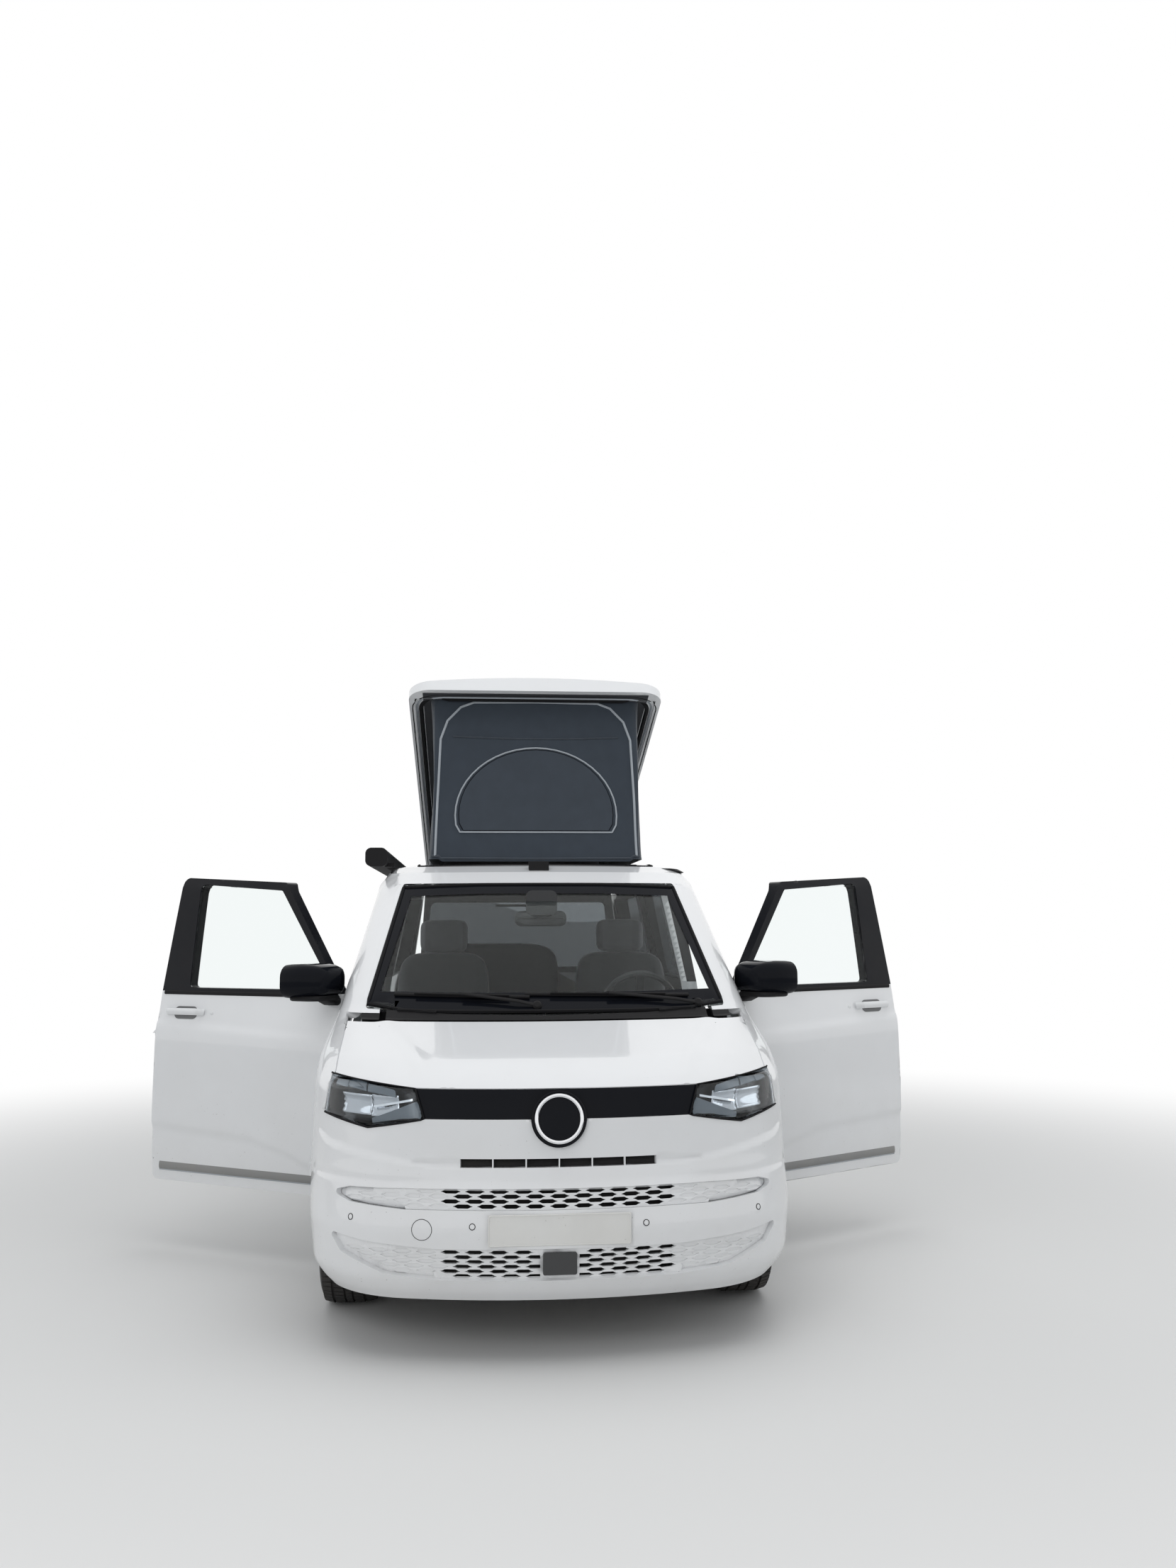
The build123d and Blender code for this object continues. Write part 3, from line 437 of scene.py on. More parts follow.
WHITE_PAINT = Finish(
    "white_paint", (0.79, 0.80, 0.81), 0.30, coat=1.0, pattern=Pattern.PEEL, scale=420.0, relief=0.012,
    mottle=0.015, film=0.16,
)
DOOR_PAINT = replace(
    WHITE_PAINT, name="door_paint", film=0.14, zone_colour=BLACK_GLOSS_COLOUR, zone_height=(1.256, 9.0)
)
QUARTER_PAINT = replace(DOOR_PAINT, name="quarter_paint", zone_height=(1.256, 1.812), zone_behind=0.95)
BLACK_GLOSS = Finish(
    "black_gloss", BLACK_GLOSS_COLOUR, 0.08, refraction=1.17, pattern=Pattern.PEEL, scale=300.0,
    relief=0.006, film=0.03,
)
MATT_BLACK = Finish(
    "matt_black", (0.012, 0.012, 0.013), 0.55, refraction=1.25, scale=1500.0, relief=0.05, film=0.06,
)
RUBBER_SEAL = Finish("rubber_seal", (0.009, 0.009, 0.010), 0.7, refraction=1.25, scale=900.0, relief=0.03)
CHROME = Finish("chrome", (0.82, 0.83, 0.85), 0.08, metallic=1.0, relief=0.004, film=0.04)
REFLECTOR = Finish("lamp_reflector", (0.55, 0.56, 0.58), 0.10, metallic=1.0, relief=0.0)
LAMP_BOWL = Finish("lamp_bowl", (0.022, 0.023, 0.026), 0.25, coat=0.2, refraction=1.3, relief=0.01)
LAMP_LENS = Finish("lamp_lens", (0.80, 0.84, 0.87), 0.0, transmission=1.0, refraction=1.3)
LIGHT_BAR = Finish("light_bar", (0.34, 0.37, 0.40), 0.25, coat=0.4, relief=0.02, scale=300.0)
CLEAR_GLASS = Finish("clear_glass", (0.90, 0.94, 0.935), 0.0, transmission=1.0, refraction=1.16)
PRIVACY_GLASS = Finish("privacy_glass", (0.05, 0.055, 0.06), 0.0, transmission=1.0, refraction=1.3)
RED_LENS = Finish("red_lens", (0.45, 0.010, 0.012), 0.10, coat=1.0, relief=0.03, scale=160.0, film=0.03)
SMOKED_LENS = Finish("smoked_lens", (0.045, 0.008, 0.010), 0.08, coat=1.0, relief=0.02, scale=160.0)
CANVAS = Finish(
    "roof_canvas", (0.030, 0.040, 0.054), 0.85, sheen=0.25, pattern=Pattern.WEAVE, scale=520.0,
    relief=0.12, mottle=0.14,
)
CANVAS_FLAP = replace(CANVAS, name="canvas_flap", colour=(0.036, 0.046, 0.060))
PIPING = Finish("piping", (0.36, 0.39, 0.42), 0.7, pattern=Pattern.WEAVE, scale=900.0, relief=0.05)
LID_INSIDE = Finish("lid_inside", (0.035, 0.037, 0.042), 0.8, scale=500.0, relief=0.06)
SILL_GREY = Finish("sill_grey", (0.23, 0.235, 0.235), 0.5, scale=900.0, relief=0.04, film=0.25)
SEAT_CLOTH = Finish(
    "seat_cloth", (0.022, 0.023, 0.026), 0.9, sheen=0.2, pattern=Pattern.WEAVE, scale=900.0,
    relief=0.05, mottle=0.12,
)
SEAT_SIDE = replace(
    SEAT_CLOTH, name="seat_side", colour=(0.085, 0.088, 0.095), roughness=0.85, sheen=0.25, scale=300.0,
    relief=0.2,
)
CAB_PLASTIC = Finish("cab_plastic", (0.030, 0.031, 0.033), 0.5, scale=1300.0, relief=0.08)
TRIM_GREY = Finish("trim_grey", (0.16, 0.162, 0.165), 0.55, scale=1300.0, relief=0.06)
CABINET = Finish(
    "cabinet_board", (0.42, 0.40, 0.36), 0.42, pattern=Pattern.BOARD, scale=60.0, relief=0.03, mottle=0.16,
)
FLOOR_BOARD = Finish(
    "floor_board", (0.17, 0.155, 0.14), 0.5, pattern=Pattern.BOARD, scale=40.0, relief=0.05, mottle=0.25,
)
UNDERBODY = Finish("underbody", (0.020, 0.020, 0.021), 0.65, scale=350.0, relief=0.15, film=0.35)
CAST_METAL = Finish("cast_metal", (0.18, 0.18, 0.18), 0.5, metallic=0.8, scale=400.0, relief=0.15, film=0.15)
TYRE_RUBBER = Finish("tyre_rubber", (0.018, 0.018, 0.019), 0.75, scale=600.0, relief=0.06, film=0.10)
RIM_PAINT = Finish("rim_paint", (0.42, 0.43, 0.45), 0.28, metallic=0.85, coat=0.5, relief=0.01, film=0.2)
BRAKE_STEEL = Finish(
    "brake_steel", (0.32, 0.30, 0.28), 0.35, metallic=1.0, pattern=Pattern.BOARD, scale=90.0, relief=0.02,
)
PLATE_WHITE = Finish("plate_white", (0.74, 0.74, 0.72), 0.35, coat=0.3, scale=1500.0, relief=0.01, film=0.2)
SCREEN = Finish("dark_screen", (0.006, 0.007, 0.009), 0.08, coat=1.0, relief=0.0)


def wrap(obj: Object, finish: Finish, body: str) -> Object:
    """Give a piece its finish and the body that it rides on.

    Args:
        obj: The piece.
        finish: Its surface finish.
        body: The body it rides on.

    Returns:
        The same piece.
    """
    obj.data.materials.clear()
    obj.data.materials.append(finish.material())
    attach(obj, body)
    return obj


def mesh_piece(
    name: str,
    mesh: Mesh,
    finish: Finish,
    body: str,
    bevel: float = 0.0,
    flip: bool = True,
) -> Object:
    """Turn a bmesh into a finished piece.

    Args:
        name: The piece's name.
        mesh: The geometry, freed here.
        finish: Its surface finish.
        body: The body it rides on.
        bevel: Width of a rounded edge, or 0.
        flip: Whether to make the normals agree first.

    Returns:
        The new object.
    """
    if flip:
        bmesh.ops.recalc_face_normals(mesh, faces=mesh.faces)
    data = bpy.data.meshes.new(name)
    mesh.to_mesh(data)
    mesh.free()
    data.shade_smooth()
    data.set_sharp_from_angle(angle=SMOOTH_ANGLE)
    obj = bpy.data.objects.new(name, data)
    bpy.context.collection.objects.link(obj)
    if bevel:
        rounding = obj.modifiers.new("rounded edges", "BEVEL")
        rounding.width = bevel
        rounding.segments = 2
        rounding.limit_method = "ANGLE"
        rounding.angle_limit = math.radians(40)
        rounding.harden_normals = True
    return wrap(obj, finish, body)


def paint(node: Object, finish: Finish) -> None:
    """Give a node that keeps its own mesh its finish."""
    for slot in node.material_slots:
        slot.material = finish.material()


def thicken(piece: Object, thickness: float) -> None:
    """Give a skin this much thickness behind its face."""
    piece.modifiers.new("thickness", "SOLIDIFY").thickness = thickness


def add_grid(mesh: Mesh, lines: Sequence[Sequence[Vector]], closed: bool = False) -> None:
    """Add a skin over lines that hold equally many points.

    Args:
        mesh: Where it goes.
        lines: The lines, side by side.
        closed: Whether the end of each line joins its start.
    """
    made = [[mesh.verts.new(spot) for spot in line] for line in lines]
    for low, high in zip(made, made[1:]):
        for k in range(len(low) if closed else len(low) - 1):
            j = (k + 1) % len(low)
            mesh.faces.new((low[k], low[j], high[j], high[k]))


def add_box(mesh: Mesh, low: Sequence[float], high: Sequence[float]) -> list[bmesh.types.BMVert]:
    """Add a block between two corners and return its corners."""
    made = bmesh.ops.create_cube(mesh, size=1.0)["verts"]
    for vert in made:
        vert.co = Vector(low[i] + (high[i] - low[i]) * (vert.co[i] + 0.5) for i in range(3))
    return made


def add_round(
    mesh: Mesh, centre: Vector, axis: Vector, profile: Line, steps: int
) -> list[bmesh.types.BMVert]:
    """Add a turned form.

    Args:
        mesh: Where it goes.
        centre: The origin of the profile.
        axis: The axis it turns about.
        profile: Rows of (distance along the axis, radius), closed at radius 0 where it says so.
        steps: How many faces go round.

    Returns:
        Its corners.
    """
    turn = axis.normalized().to_track_quat("Z", "X").to_matrix()
    rings: list[list[bmesh.types.BMVert]] = []
    for height, radius in profile:
        if radius < TINY:
            rings.append([mesh.verts.new(centre + turn @ Vector((0, 0, height)))])
            continue
        rings.append([
            mesh.verts.new(centre + turn @ Vector((radius * math.cos(a), radius * math.sin(a), height)))
            for a in (2 * math.pi * i / steps for i in range(steps))
        ])
    for first, second in zip(rings, rings[1:]):
        for i in range(steps):
            j = (i + 1) % steps
            turns = ((first, i), (first, j), (second, j), (second, i))
            unique = list(dict.fromkeys(ring[k % len(ring)] for ring, k in turns))
            if len(unique) > 2:
                mesh.faces.new(unique)
    return [vert for ring in rings for vert in ring]


def add_tube(
    mesh: Mesh,
    path: Sequence[Vector],
    radius: float,
    sides: int = 8,
    closed: bool = False,
    flat: float = 1.0,
    up: Vector | None = None,
) -> None:
    """Add a tube along a path.

    Args:
        mesh: Where it goes.
        path: The points of its middle line.
        radius: Half its width.
        sides: Faces round the tube.
        closed: Whether its end meets its start.
        flat: Its height as a share of its width.
        up: The direction of its height, or None where it doesn't matter.
    """
    count = len(path)
    rings = []
    side = None
    for i, here in enumerate(path):
        before = path[i - 1] if i or closed else here
        after = path[(i + 1) % count] if i + 1 < count or closed else here
        ahead = (after - before).normalized()
        if up is not None:
            side = ahead.cross(up).normalized()
        elif side is None:
            side = ahead.orthogonal().normalized()
        else:
            side = (side - ahead * side.dot(ahead)).normalized()
        rise = side.cross(ahead).normalized()
        rings.append([
            mesh.verts.new(here + side * (radius * math.cos(a)) + rise * (radius * flat * math.sin(a)))
            for a in (2 * math.pi * k / sides for k in range(sides))
        ])
    pairs = list(zip(rings, rings[1:])) + ([(rings[-1], rings[0])] if closed else [])
    for first, second in pairs:
        for k in range(sides):
            mesh.faces.new((first[k], first[(k + 1) % sides], second[(k + 1) % sides], second[k]))
    if not closed:
        mesh.faces.new(rings[0][::-1])
        mesh.faces.new(rings[-1])


def add_loft(mesh: Mesh, rings: Sequence[Sequence[Vector]], capped: bool = True) -> None:
    """Join closed rings of equal count into one skin, with its ends closed if asked."""
    made = [[mesh.verts.new(corner) for corner in ring] for ring in rings]
    for first, second in zip(made, made[1:]):
        for k in range(len(first)):
            j = (k + 1) % len(first)
            mesh.faces.new((first[k], first[j], second[j], second[k]))
    if capped:
        mesh.faces.new(made[0][::-1])
        mesh.faces.new(made[-1])


def rounded_ring(width: float, height: float, corner: float, steps: int = 6) -> list[Flat]:
    """Corners of a rectangle with round corners, centred on the origin."""
    ring = []
    for turn, (sx, sy) in enumerate(((1, 1), (-1, 1), (-1, -1), (1, -1))):
        for k in range(steps + 1):
            angle = math.pi / 2 * (turn + k / steps)
            ring.append((
                sx * (width / 2 - corner) + corner * math.cos(angle),
                sy * (height / 2 - corner) + corner * math.sin(angle),
            ))
    return ring


class Facing(Enum):
    """The side from which a panel's skin is laid out flat."""

    FRONT = "front"
    LEFT = "left"
    RIGHT = "right"
    TOP = "top"
    REAR = "rear"

    def flat(self, spot: Vector) -> Vector:
        """Where a point lies in the flat layout; the nose is unrolled about a point behind it."""
        if self is Facing.FRONT:
            reach = Vector((spot.x, spot.y + HALF_LENGTH - 1.25, 0))
            return Vector((math.atan2(reach.x, -reach.y) * 1.2, spot.z, 0))
        if self in (Facing.LEFT, Facing.RIGHT):
            return Vector((spot.y, spot.z, 0))
        if self is Facing.REAR:
            return Vector((spot.x, spot.z, 0))
        return Vector((spot.x, spot.y, 0))

    def outward(self, spot: Vector) -> Vector:
        """The rough outward direction at a point."""
        if self is Facing.FRONT:
            return Vector((spot.x, spot.y + HALF_LENGTH - 1.25, 0)).normalized()
        return {
            Facing.LEFT: Vector((1, 0, 0)),
            Facing.RIGHT: Vector((-1, 0, 0)),
            Facing.REAR: Vector((0, 1, 0)),
            Facing.TOP: Vector((0, 0, 1)),
        }[self]


@dataclass
class FormedSkin:
    """Outer skin of a panel, with the creases that its solid leaves out.

    The outward faces of the solid are laid out flat, filled with an even grid that keeps their
    edges, and lifted back with the relief added along the normal.
    """

    node: str
    facing: Facing
    relief: Relief
    spacing: float = 0.014
    rim: float = 0.004
    least: float = 0.35
    smoothing: int = 6
    row_share: float = 0.87
    margin_share: float = 0.45
    turned: Matrix = field(default_factory=lambda: Matrix.Identity(4))

    def build(self, source: Object, finish: Finish, body: str, slot: str) -> Object:
        """Make the skin over one node.

        Args:
            source: The node's object.
            finish: The skin's finish.
            body: The body it rides on.
            slot: Not used.

        Returns:
            The skin.
        """
        solid, inside = self.split(source.data, self.turned.inverted())
        skin = self._cover(solid, filled=True)
        self._form(skin)
        skin.from_mesh(inside)
        bpy.data.meshes.remove(inside)
        bmesh.ops.transform(skin, matrix=self.turned, verts=skin.verts)
        piece = mesh_piece(f"{self.node}_formed", skin, finish, body, flip=False)
        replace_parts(piece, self.node)
        return piece

    def _cover(self, solid: Mesh, filled: bool) -> Mesh:
        """Lay the patch out flat, divide it into small triangles and lift it back.

        Args:
            solid: The outward patch, freed here.
            filled: Whether an even grid of points goes inside its outline.

        Returns:
            The skin, with its faces turned outward.
        """
        solid.verts.index_update()
        spots = [vert.co.copy() for vert in solid.verts]
        flat = [self.facing.flat(spot) for spot in spots]
        faces = [tuple(vert.index for vert in face.verts) for face in solid.faces]
        edges = [(e.verts[0].index, e.verts[1].index) for e in solid.edges if len(e.link_faces) == 1]
        solid.free()
        tree = BVHTree.FromPolygons(flat, faces)
        points, rim_edges = self._outline(flat, edges)
        if filled:
            points += self._grid(points, tree)
        found = geometry.delaunay_2d_cdt([point.to_2d() for point in points], rim_edges, [], 0, 1e-7)
        flat_points, triangles = found[0], found[2]
        skin = bmesh.new()
        made = [skin.verts.new(self._lift(point, tree, flat, spots, faces)) for point in flat_points]
        for triangle in triangles:
            middle = sum((flat_points[i] for i in triangle), Vector((0, 0))) / 3
            if self._inside(middle, tree):
                skin.faces.new([made[i] for i in triangle])
        bmesh.ops.delete(skin, geom=[v for v in skin.verts if not v.link_faces], context="VERTS")
        skin.normal_update()
        for face in skin.faces:
            if face.normal.dot(self.facing.outward(face.calc_center_median())) < 0:
                face.normal_flip()
        return skin

    def split(self, data: bpy.types.Mesh, matrix: Matrix) -> tuple[Mesh, bpy.types.Mesh]:
        """Split a copy of the node into its largest outward patch and the rest.

        Args:
            data: The node's mesh.
            matrix: The move that takes it to the place where it is laid out.

        Returns:
            The patch and the rest.
        """
        solid = bmesh.new()
        solid.from_mesh(data)
        bmesh.ops.transform(solid, matrix=matrix, verts=solid.verts)
        bmesh.ops.remove_doubles(solid, verts=solid.verts, dist=TINY)
        solid.normal_update()
        outer = {
            face for face in solid.faces
            if face.normal.dot(self.facing.outward(face.calc_center_median())) >= self.least
        }
        patches: list[set[bmesh.types.BMFace]] = []
        seen: set[bmesh.types.BMFace] = set()
        for start in outer:
            if start in seen:
                continue
            patch, queue = {start}, [start]
            while queue:
                for edge in queue.pop().edges:
                    for other in edge.link_faces:
                        if other in outer and other not in patch:
                            patch.add(other)
                            queue.append(other)
            seen |= patch
            patches.append(patch)
        largest = max(patches, key=lambda patch: sum(face.calc_area() for face in patch))
        rest = bpy.data.meshes.new(f"{self.node}_inside")
        both = solid.copy()
        for face, twin in zip(solid.faces, list(both.faces)):
            if face in largest:
                twin.tag = True
        bmesh.ops.delete(both, geom=[face for face in both.faces if face.tag], context="FACES")
        both.to_mesh(rest)
        both.free()
        bmesh.ops.delete(solid, geom=[face for face in solid.faces if face not in largest], context="FACES")
        return solid, rest

    def _outline(
        self, flat: list[Vector], edges: list[tuple[int, int]]
    ) -> tuple[list[Vector], list[tuple[int, int]]]:
        """Divide the long edges of the outline.

        Args:
            flat: Flat corners of the patch.
            edges: The outline's edges, as pairs of corner numbers.

        Returns:
            The outline's points, and its edges as pairs of point numbers.
        """
        index: dict[int, int] = {}
        points: list[Vector] = []
        links: list[tuple[int, int]] = []
        for first, second in edges:
            for corner in (first, second):
                if corner not in index:
                    index[corner] = len(points)
                    points.append(flat[corner])
            parts = max(1, round((flat[second] - flat[first]).length / self.spacing))
            last = index[first]
            for k in range(1, parts):
                points.append(flat[first].lerp(flat[second], k / parts))
                links.append((last, len(points) - 1))
                last = len(points) - 1
            links.append((last, index[second]))
        return points, links

    def _inside(self, point: Vector, tree: BVHTree) -> bool:
        """Whether a flat point lies on the patch."""
        return tree.ray_cast(Vector((point.x, point.y, 1.0)), Vector((0, 0, -1)))[0] is not None

    def _grid(self, outline: list[Vector], tree: BVHTree) -> list[Vector]:
        """An even grid of points inside the outline, in rows that are set off by half a step."""
        low = Vector((min(p.x for p in outline), min(p.y for p in outline)))
        high = Vector((max(p.x for p in outline), max(p.y for p in outline)))
        step, margin = self.spacing, self.spacing * self.margin_share
        points = []
        row = 0
        y = low.y + step * 0.5
        while y < high.y:
            x = low.x + step * (0.25 if row % 2 else 0.75)
            while x < high.x:
                spot = Vector((x, y, 0))
                shifts = ((margin, 0, 0), (-margin, 0, 0), (0, margin, 0), (0, -margin, 0))
                if all(self._inside(spot + Vector(shift), tree) for shift in shifts):
                    points.append(spot)
                x += step
            y += step * self.row_share
            row += 1
        return points

    @staticmethod
    def _lift(
        point: Vector, tree: BVHTree, flat: list[Vector], spots: list[Vector], faces: list[tuple[int, ...]]
    ) -> Vector:
        """Find the true place of a flat point.

        Args:
            point: The flat point.
            tree: Search tree over the flat patch.
            flat: Flat corners of the patch.
            spots: True corners of the patch.
            faces: The patch's faces, as corner numbers.

        Returns:
            Its place on the panel.
        """
        near, _, index, _ = tree.find_nearest(Vector((point.x, point.y, 0)))
        a, b, c = faces[index][:3]
        return geometry.barycentric_transform(near, flat[a], flat[b], flat[c], spots[a], spots[b], spots[c])

    def _form(self, skin: Mesh) -> None:
        """Even out the facets, add the relief, and turn the rim in."""
        rim = {vert for vert in skin.verts if vert.is_boundary}
        inner = [vert for vert in skin.verts if vert not in rim]
        every_axis = {"use_axis_x": True, "use_axis_y": True, "use_axis_z": True}
        for _ in range(self.smoothing):
            bmesh.ops.smooth_vert(skin, verts=inner, factor=0.5, **every_axis)
        skin.normal_update()
        heights = {vert: self.relief(vert.co.x, vert.co.y + HALF_LENGTH, vert.co.z) for vert in skin.verts}
        moved = [(vert, vert.co + vert.normal * height) for vert, height in heights.items()]
        for vert, spot in moved:
            vert.co = spot
        skin.normal_update()
        edge_loop = [edge for edge in skin.edges if edge.is_boundary]
        normals = {vert: vert.normal.copy() for vert in rim}
        grown = bmesh.ops.extrude_edge_only(skin, edges=edge_loop)["geom"]
        for vert in (item for item in grown if isinstance(item, bmesh.types.BMVert)):
            parent = min(
                (other for edge in vert.link_edges for other in edge.verts if other in normals),
                key=lambda other: (other.co - vert.co).length,
            )
            vert.co -= normals[parent] * (self.rim + max(heights[parent], 0.0))


FRONT_WHEEL = (0.925, 0.345)
REAR_WHEEL = (4.049, 0.345)


def from_hub(wheel: Flat, back: float, height: float) -> float:
    """Distance from the middle of a wheel, seen from the side."""
    return math.hypot(back - wheel[0], height - wheel[1])


def crease_heights(back: float) -> Flat:
    """Upper and lower edge of the shoulder crease at a distance behind the nose."""
    upper = along(((1.35, 1.07), (2.47, 1.12), (3.60, 1.125), (4.70, 1.125)), back)
    lower = along(((1.35, 1.023), (2.47, 1.09), (3.60, 1.095), (4.70, 1.095)), back)
    return upper, lower


def side_relief(x: float, back: float, height: float) -> float:
    """How far the side stands proud of its plain form: shoulder crease, flank and lower crease."""
    upper, lower = crease_heights(back)
    low_edge = along(((1.48, 0.466), (1.61, 0.518), (1.86, 0.577), (2.48, 0.610), (3.60, 0.625)), back)
    proud = 1.0 - smoothstep(lower - 0.004, upper, height)
    proud *= smoothstep(low_edge - 0.034, low_edge + 0.010, height)
    fade = smoothstep(1.30, 1.46, back) * (1.0 - smoothstep(4.55, 4.90, back))
    fade *= smoothstep(0.44, 0.50, from_hub(REAR_WHEEL, back, height))
    return 0.009 * proud * fade


def quarter_relief(x: float, back: float, height: float) -> float:
    """Side relief with a lip round the rear wheel arch."""
    arch = from_hub(REAR_WHEEL, back, height)
    return side_relief(x, back, height) + 0.010 * (1 - smoothstep(0.405, 0.46, arch))


def wing_relief(x: float, back: float, height: float) -> float:
    """Lip round the front wheel arch."""
    return 0.010 * (1 - smoothstep(0.405, 0.455, from_hub(FRONT_WHEEL, back, height)))


def bumper_relief(x: float, back: float, height: float) -> float:
    """Fold above the grilles, swept shoulder below the lamps and the recess beside the slot."""
    away = abs(x)
    fade = 1 - smoothstep(0.36, 0.50, back)
    fold = 0.008 * (1 - smoothstep(0.620, 0.640, height)) * smoothstep(0.20, 0.26, height) * fade
    sweep = along(((0.30, 0.700), (0.57, 0.708), (0.73, 0.733), (0.87, 0.755), (0.92, 0.785)), away)
    shoulder = 0.006 * (1 - smoothstep(sweep - 0.010, sweep + 0.006, height)) * smoothstep(0.40, 0.60, away)
    shoulder *= smoothstep(0.62, 0.66, height) * (1 - smoothstep(0.36, 0.50, back))
    reach = along(((0.365, 0.016), (0.47, 0.0125), (0.551, 0.0)), away)
    dip = 0.0
    if 0.362 < away < 0.556 and reach > 0.001:
        dip = 0.007 * (1 - smoothstep(reach * 0.55, reach, abs(height - 0.707)))
    plate = 0.004 * smoothstep(0.270, 0.262, away) if 0.41 < height < 0.545 else 0.0
    return fold + shoulder - dip - plate


def bonnet_relief(x: float, back: float, height: float) -> float:
    """Two long ridges that run from the lamps to the screen."""
    away = abs(x)
    ridge = 0.50 + 0.20 * smoothstep(0.1, 0.85, back)
    crown = math.exp(-(((away - ridge) / 0.035) ** 2))
    shelf = 1 - smoothstep(ridge - 0.02, ridge + 0.05, away)
    return (0.004 * crown + 0.004 * shelf) * smoothstep(0.10, 0.25, back)


def tailgate_relief(x: float, back: float, height: float) -> float:
    """Shelf below the window and the hollow that holds the plate."""
    shelf = 0.008 * smoothstep(1.10, 1.125, height) * (1 - smoothstep(1.225, 1.24, height))
    away = max(abs(x) - 0.30, abs(height - 0.735) - 0.085)
    return shelf - 0.006 * (1 - smoothstep(0.0, 0.03, away))


def no_relief(x: float, back: float, height: float) -> float:
    """Plain form."""
    return 0.0


@dataclass
class DoorSwing:
    """How far and about which line a front door stands open."""

    angle: float = math.radians(59.4)
    hinge_x: float = 0.957
    hinge_back: float = 1.354

    def matrix(self, side: int) -> Matrix:
        """The turn from shut to open on one side."""
        pin = place(side * self.hinge_x, self.hinge_back, 0.0)
        turn = Matrix.Rotation(-side * self.angle, 4, "Z")
        return Matrix.Translation(pin) @ turn @ Matrix.Translation(-pin)


SWING = DoorSwing()


@dataclass
class PaintedShell:
    """The panels that carry body colour."""

    nodes: Nodes
    fine: float = 0.011
    plain: float = 0.016
    coarse: float = 0.022

    def build(self) -> None:
        """Form each panel and paint the ones that stay as they are."""
        for side, word in SIDES:
            facing = Facing.LEFT if side > 0 else Facing.RIGHT
            turn = SWING.matrix(side)
            self._form(
                f"wing_{word}", facing, wing_relief, WHITE_PAINT, "body", self.plain, least=0.12, rim=0.014
            )
            self._form(f"door_{word}", facing, side_relief, DOOR_PAINT, f"door_{word}", self.plain, turn)
            self._form(f"sliding_door_{word}", facing, side_relief, DOOR_PAINT, "body", self.plain)
            self._form(f"body_side_{word}", facing, quarter_relief, QUARTER_PAINT, "body", self.coarse)
        self._form("front_bumper", Facing.FRONT, bumper_relief, WHITE_PAINT, "body", self.fine, rim=0.014)
        self._form("bonnet", Facing.TOP, bonnet_relief, WHITE_PAINT, "bonnet", self.plain, least=0.12)
        self._form("tailgate", Facing.REAR, tailgate_relief, WHITE_PAINT, "tailgate", self.plain)
        for name in ("roof_panel", "rear_bumper", "grille_upper", "grille_lower"):
            paint(self.nodes[name], WHITE_PAINT)

    def _form(
        self,
        node: str,
        facing: Facing,
        relief: Relief,
        finish: Finish,
        body: str,
        spacing: float,
        turned: Matrix | None = None,
        least: float = 0.35,
        rim: float = 0.004,
    ) -> None:
        """Lay a formed skin over one panel.

        Args:
            node: The panel's node.
            facing: The side from which it is laid out.
            relief: How far each place stands proud.
            finish: Its surface finish.
            body: The body it rides on.
            spacing: Distance between the skin's points.
            turned: The turn from shut to open, for a panel that stands open.
            least: How squarely a face has to point outward to belong to the skin.
            rim: How deep the skin's edge turns in.
        """
        skin = FormedSkin(
            node, facing, relief, spacing, rim, least=least, turned=turned or Matrix.Identity(4)
        )
        skin.build(self.nodes[node], finish, body, "white_paint")
        log.info("%s formed", node)


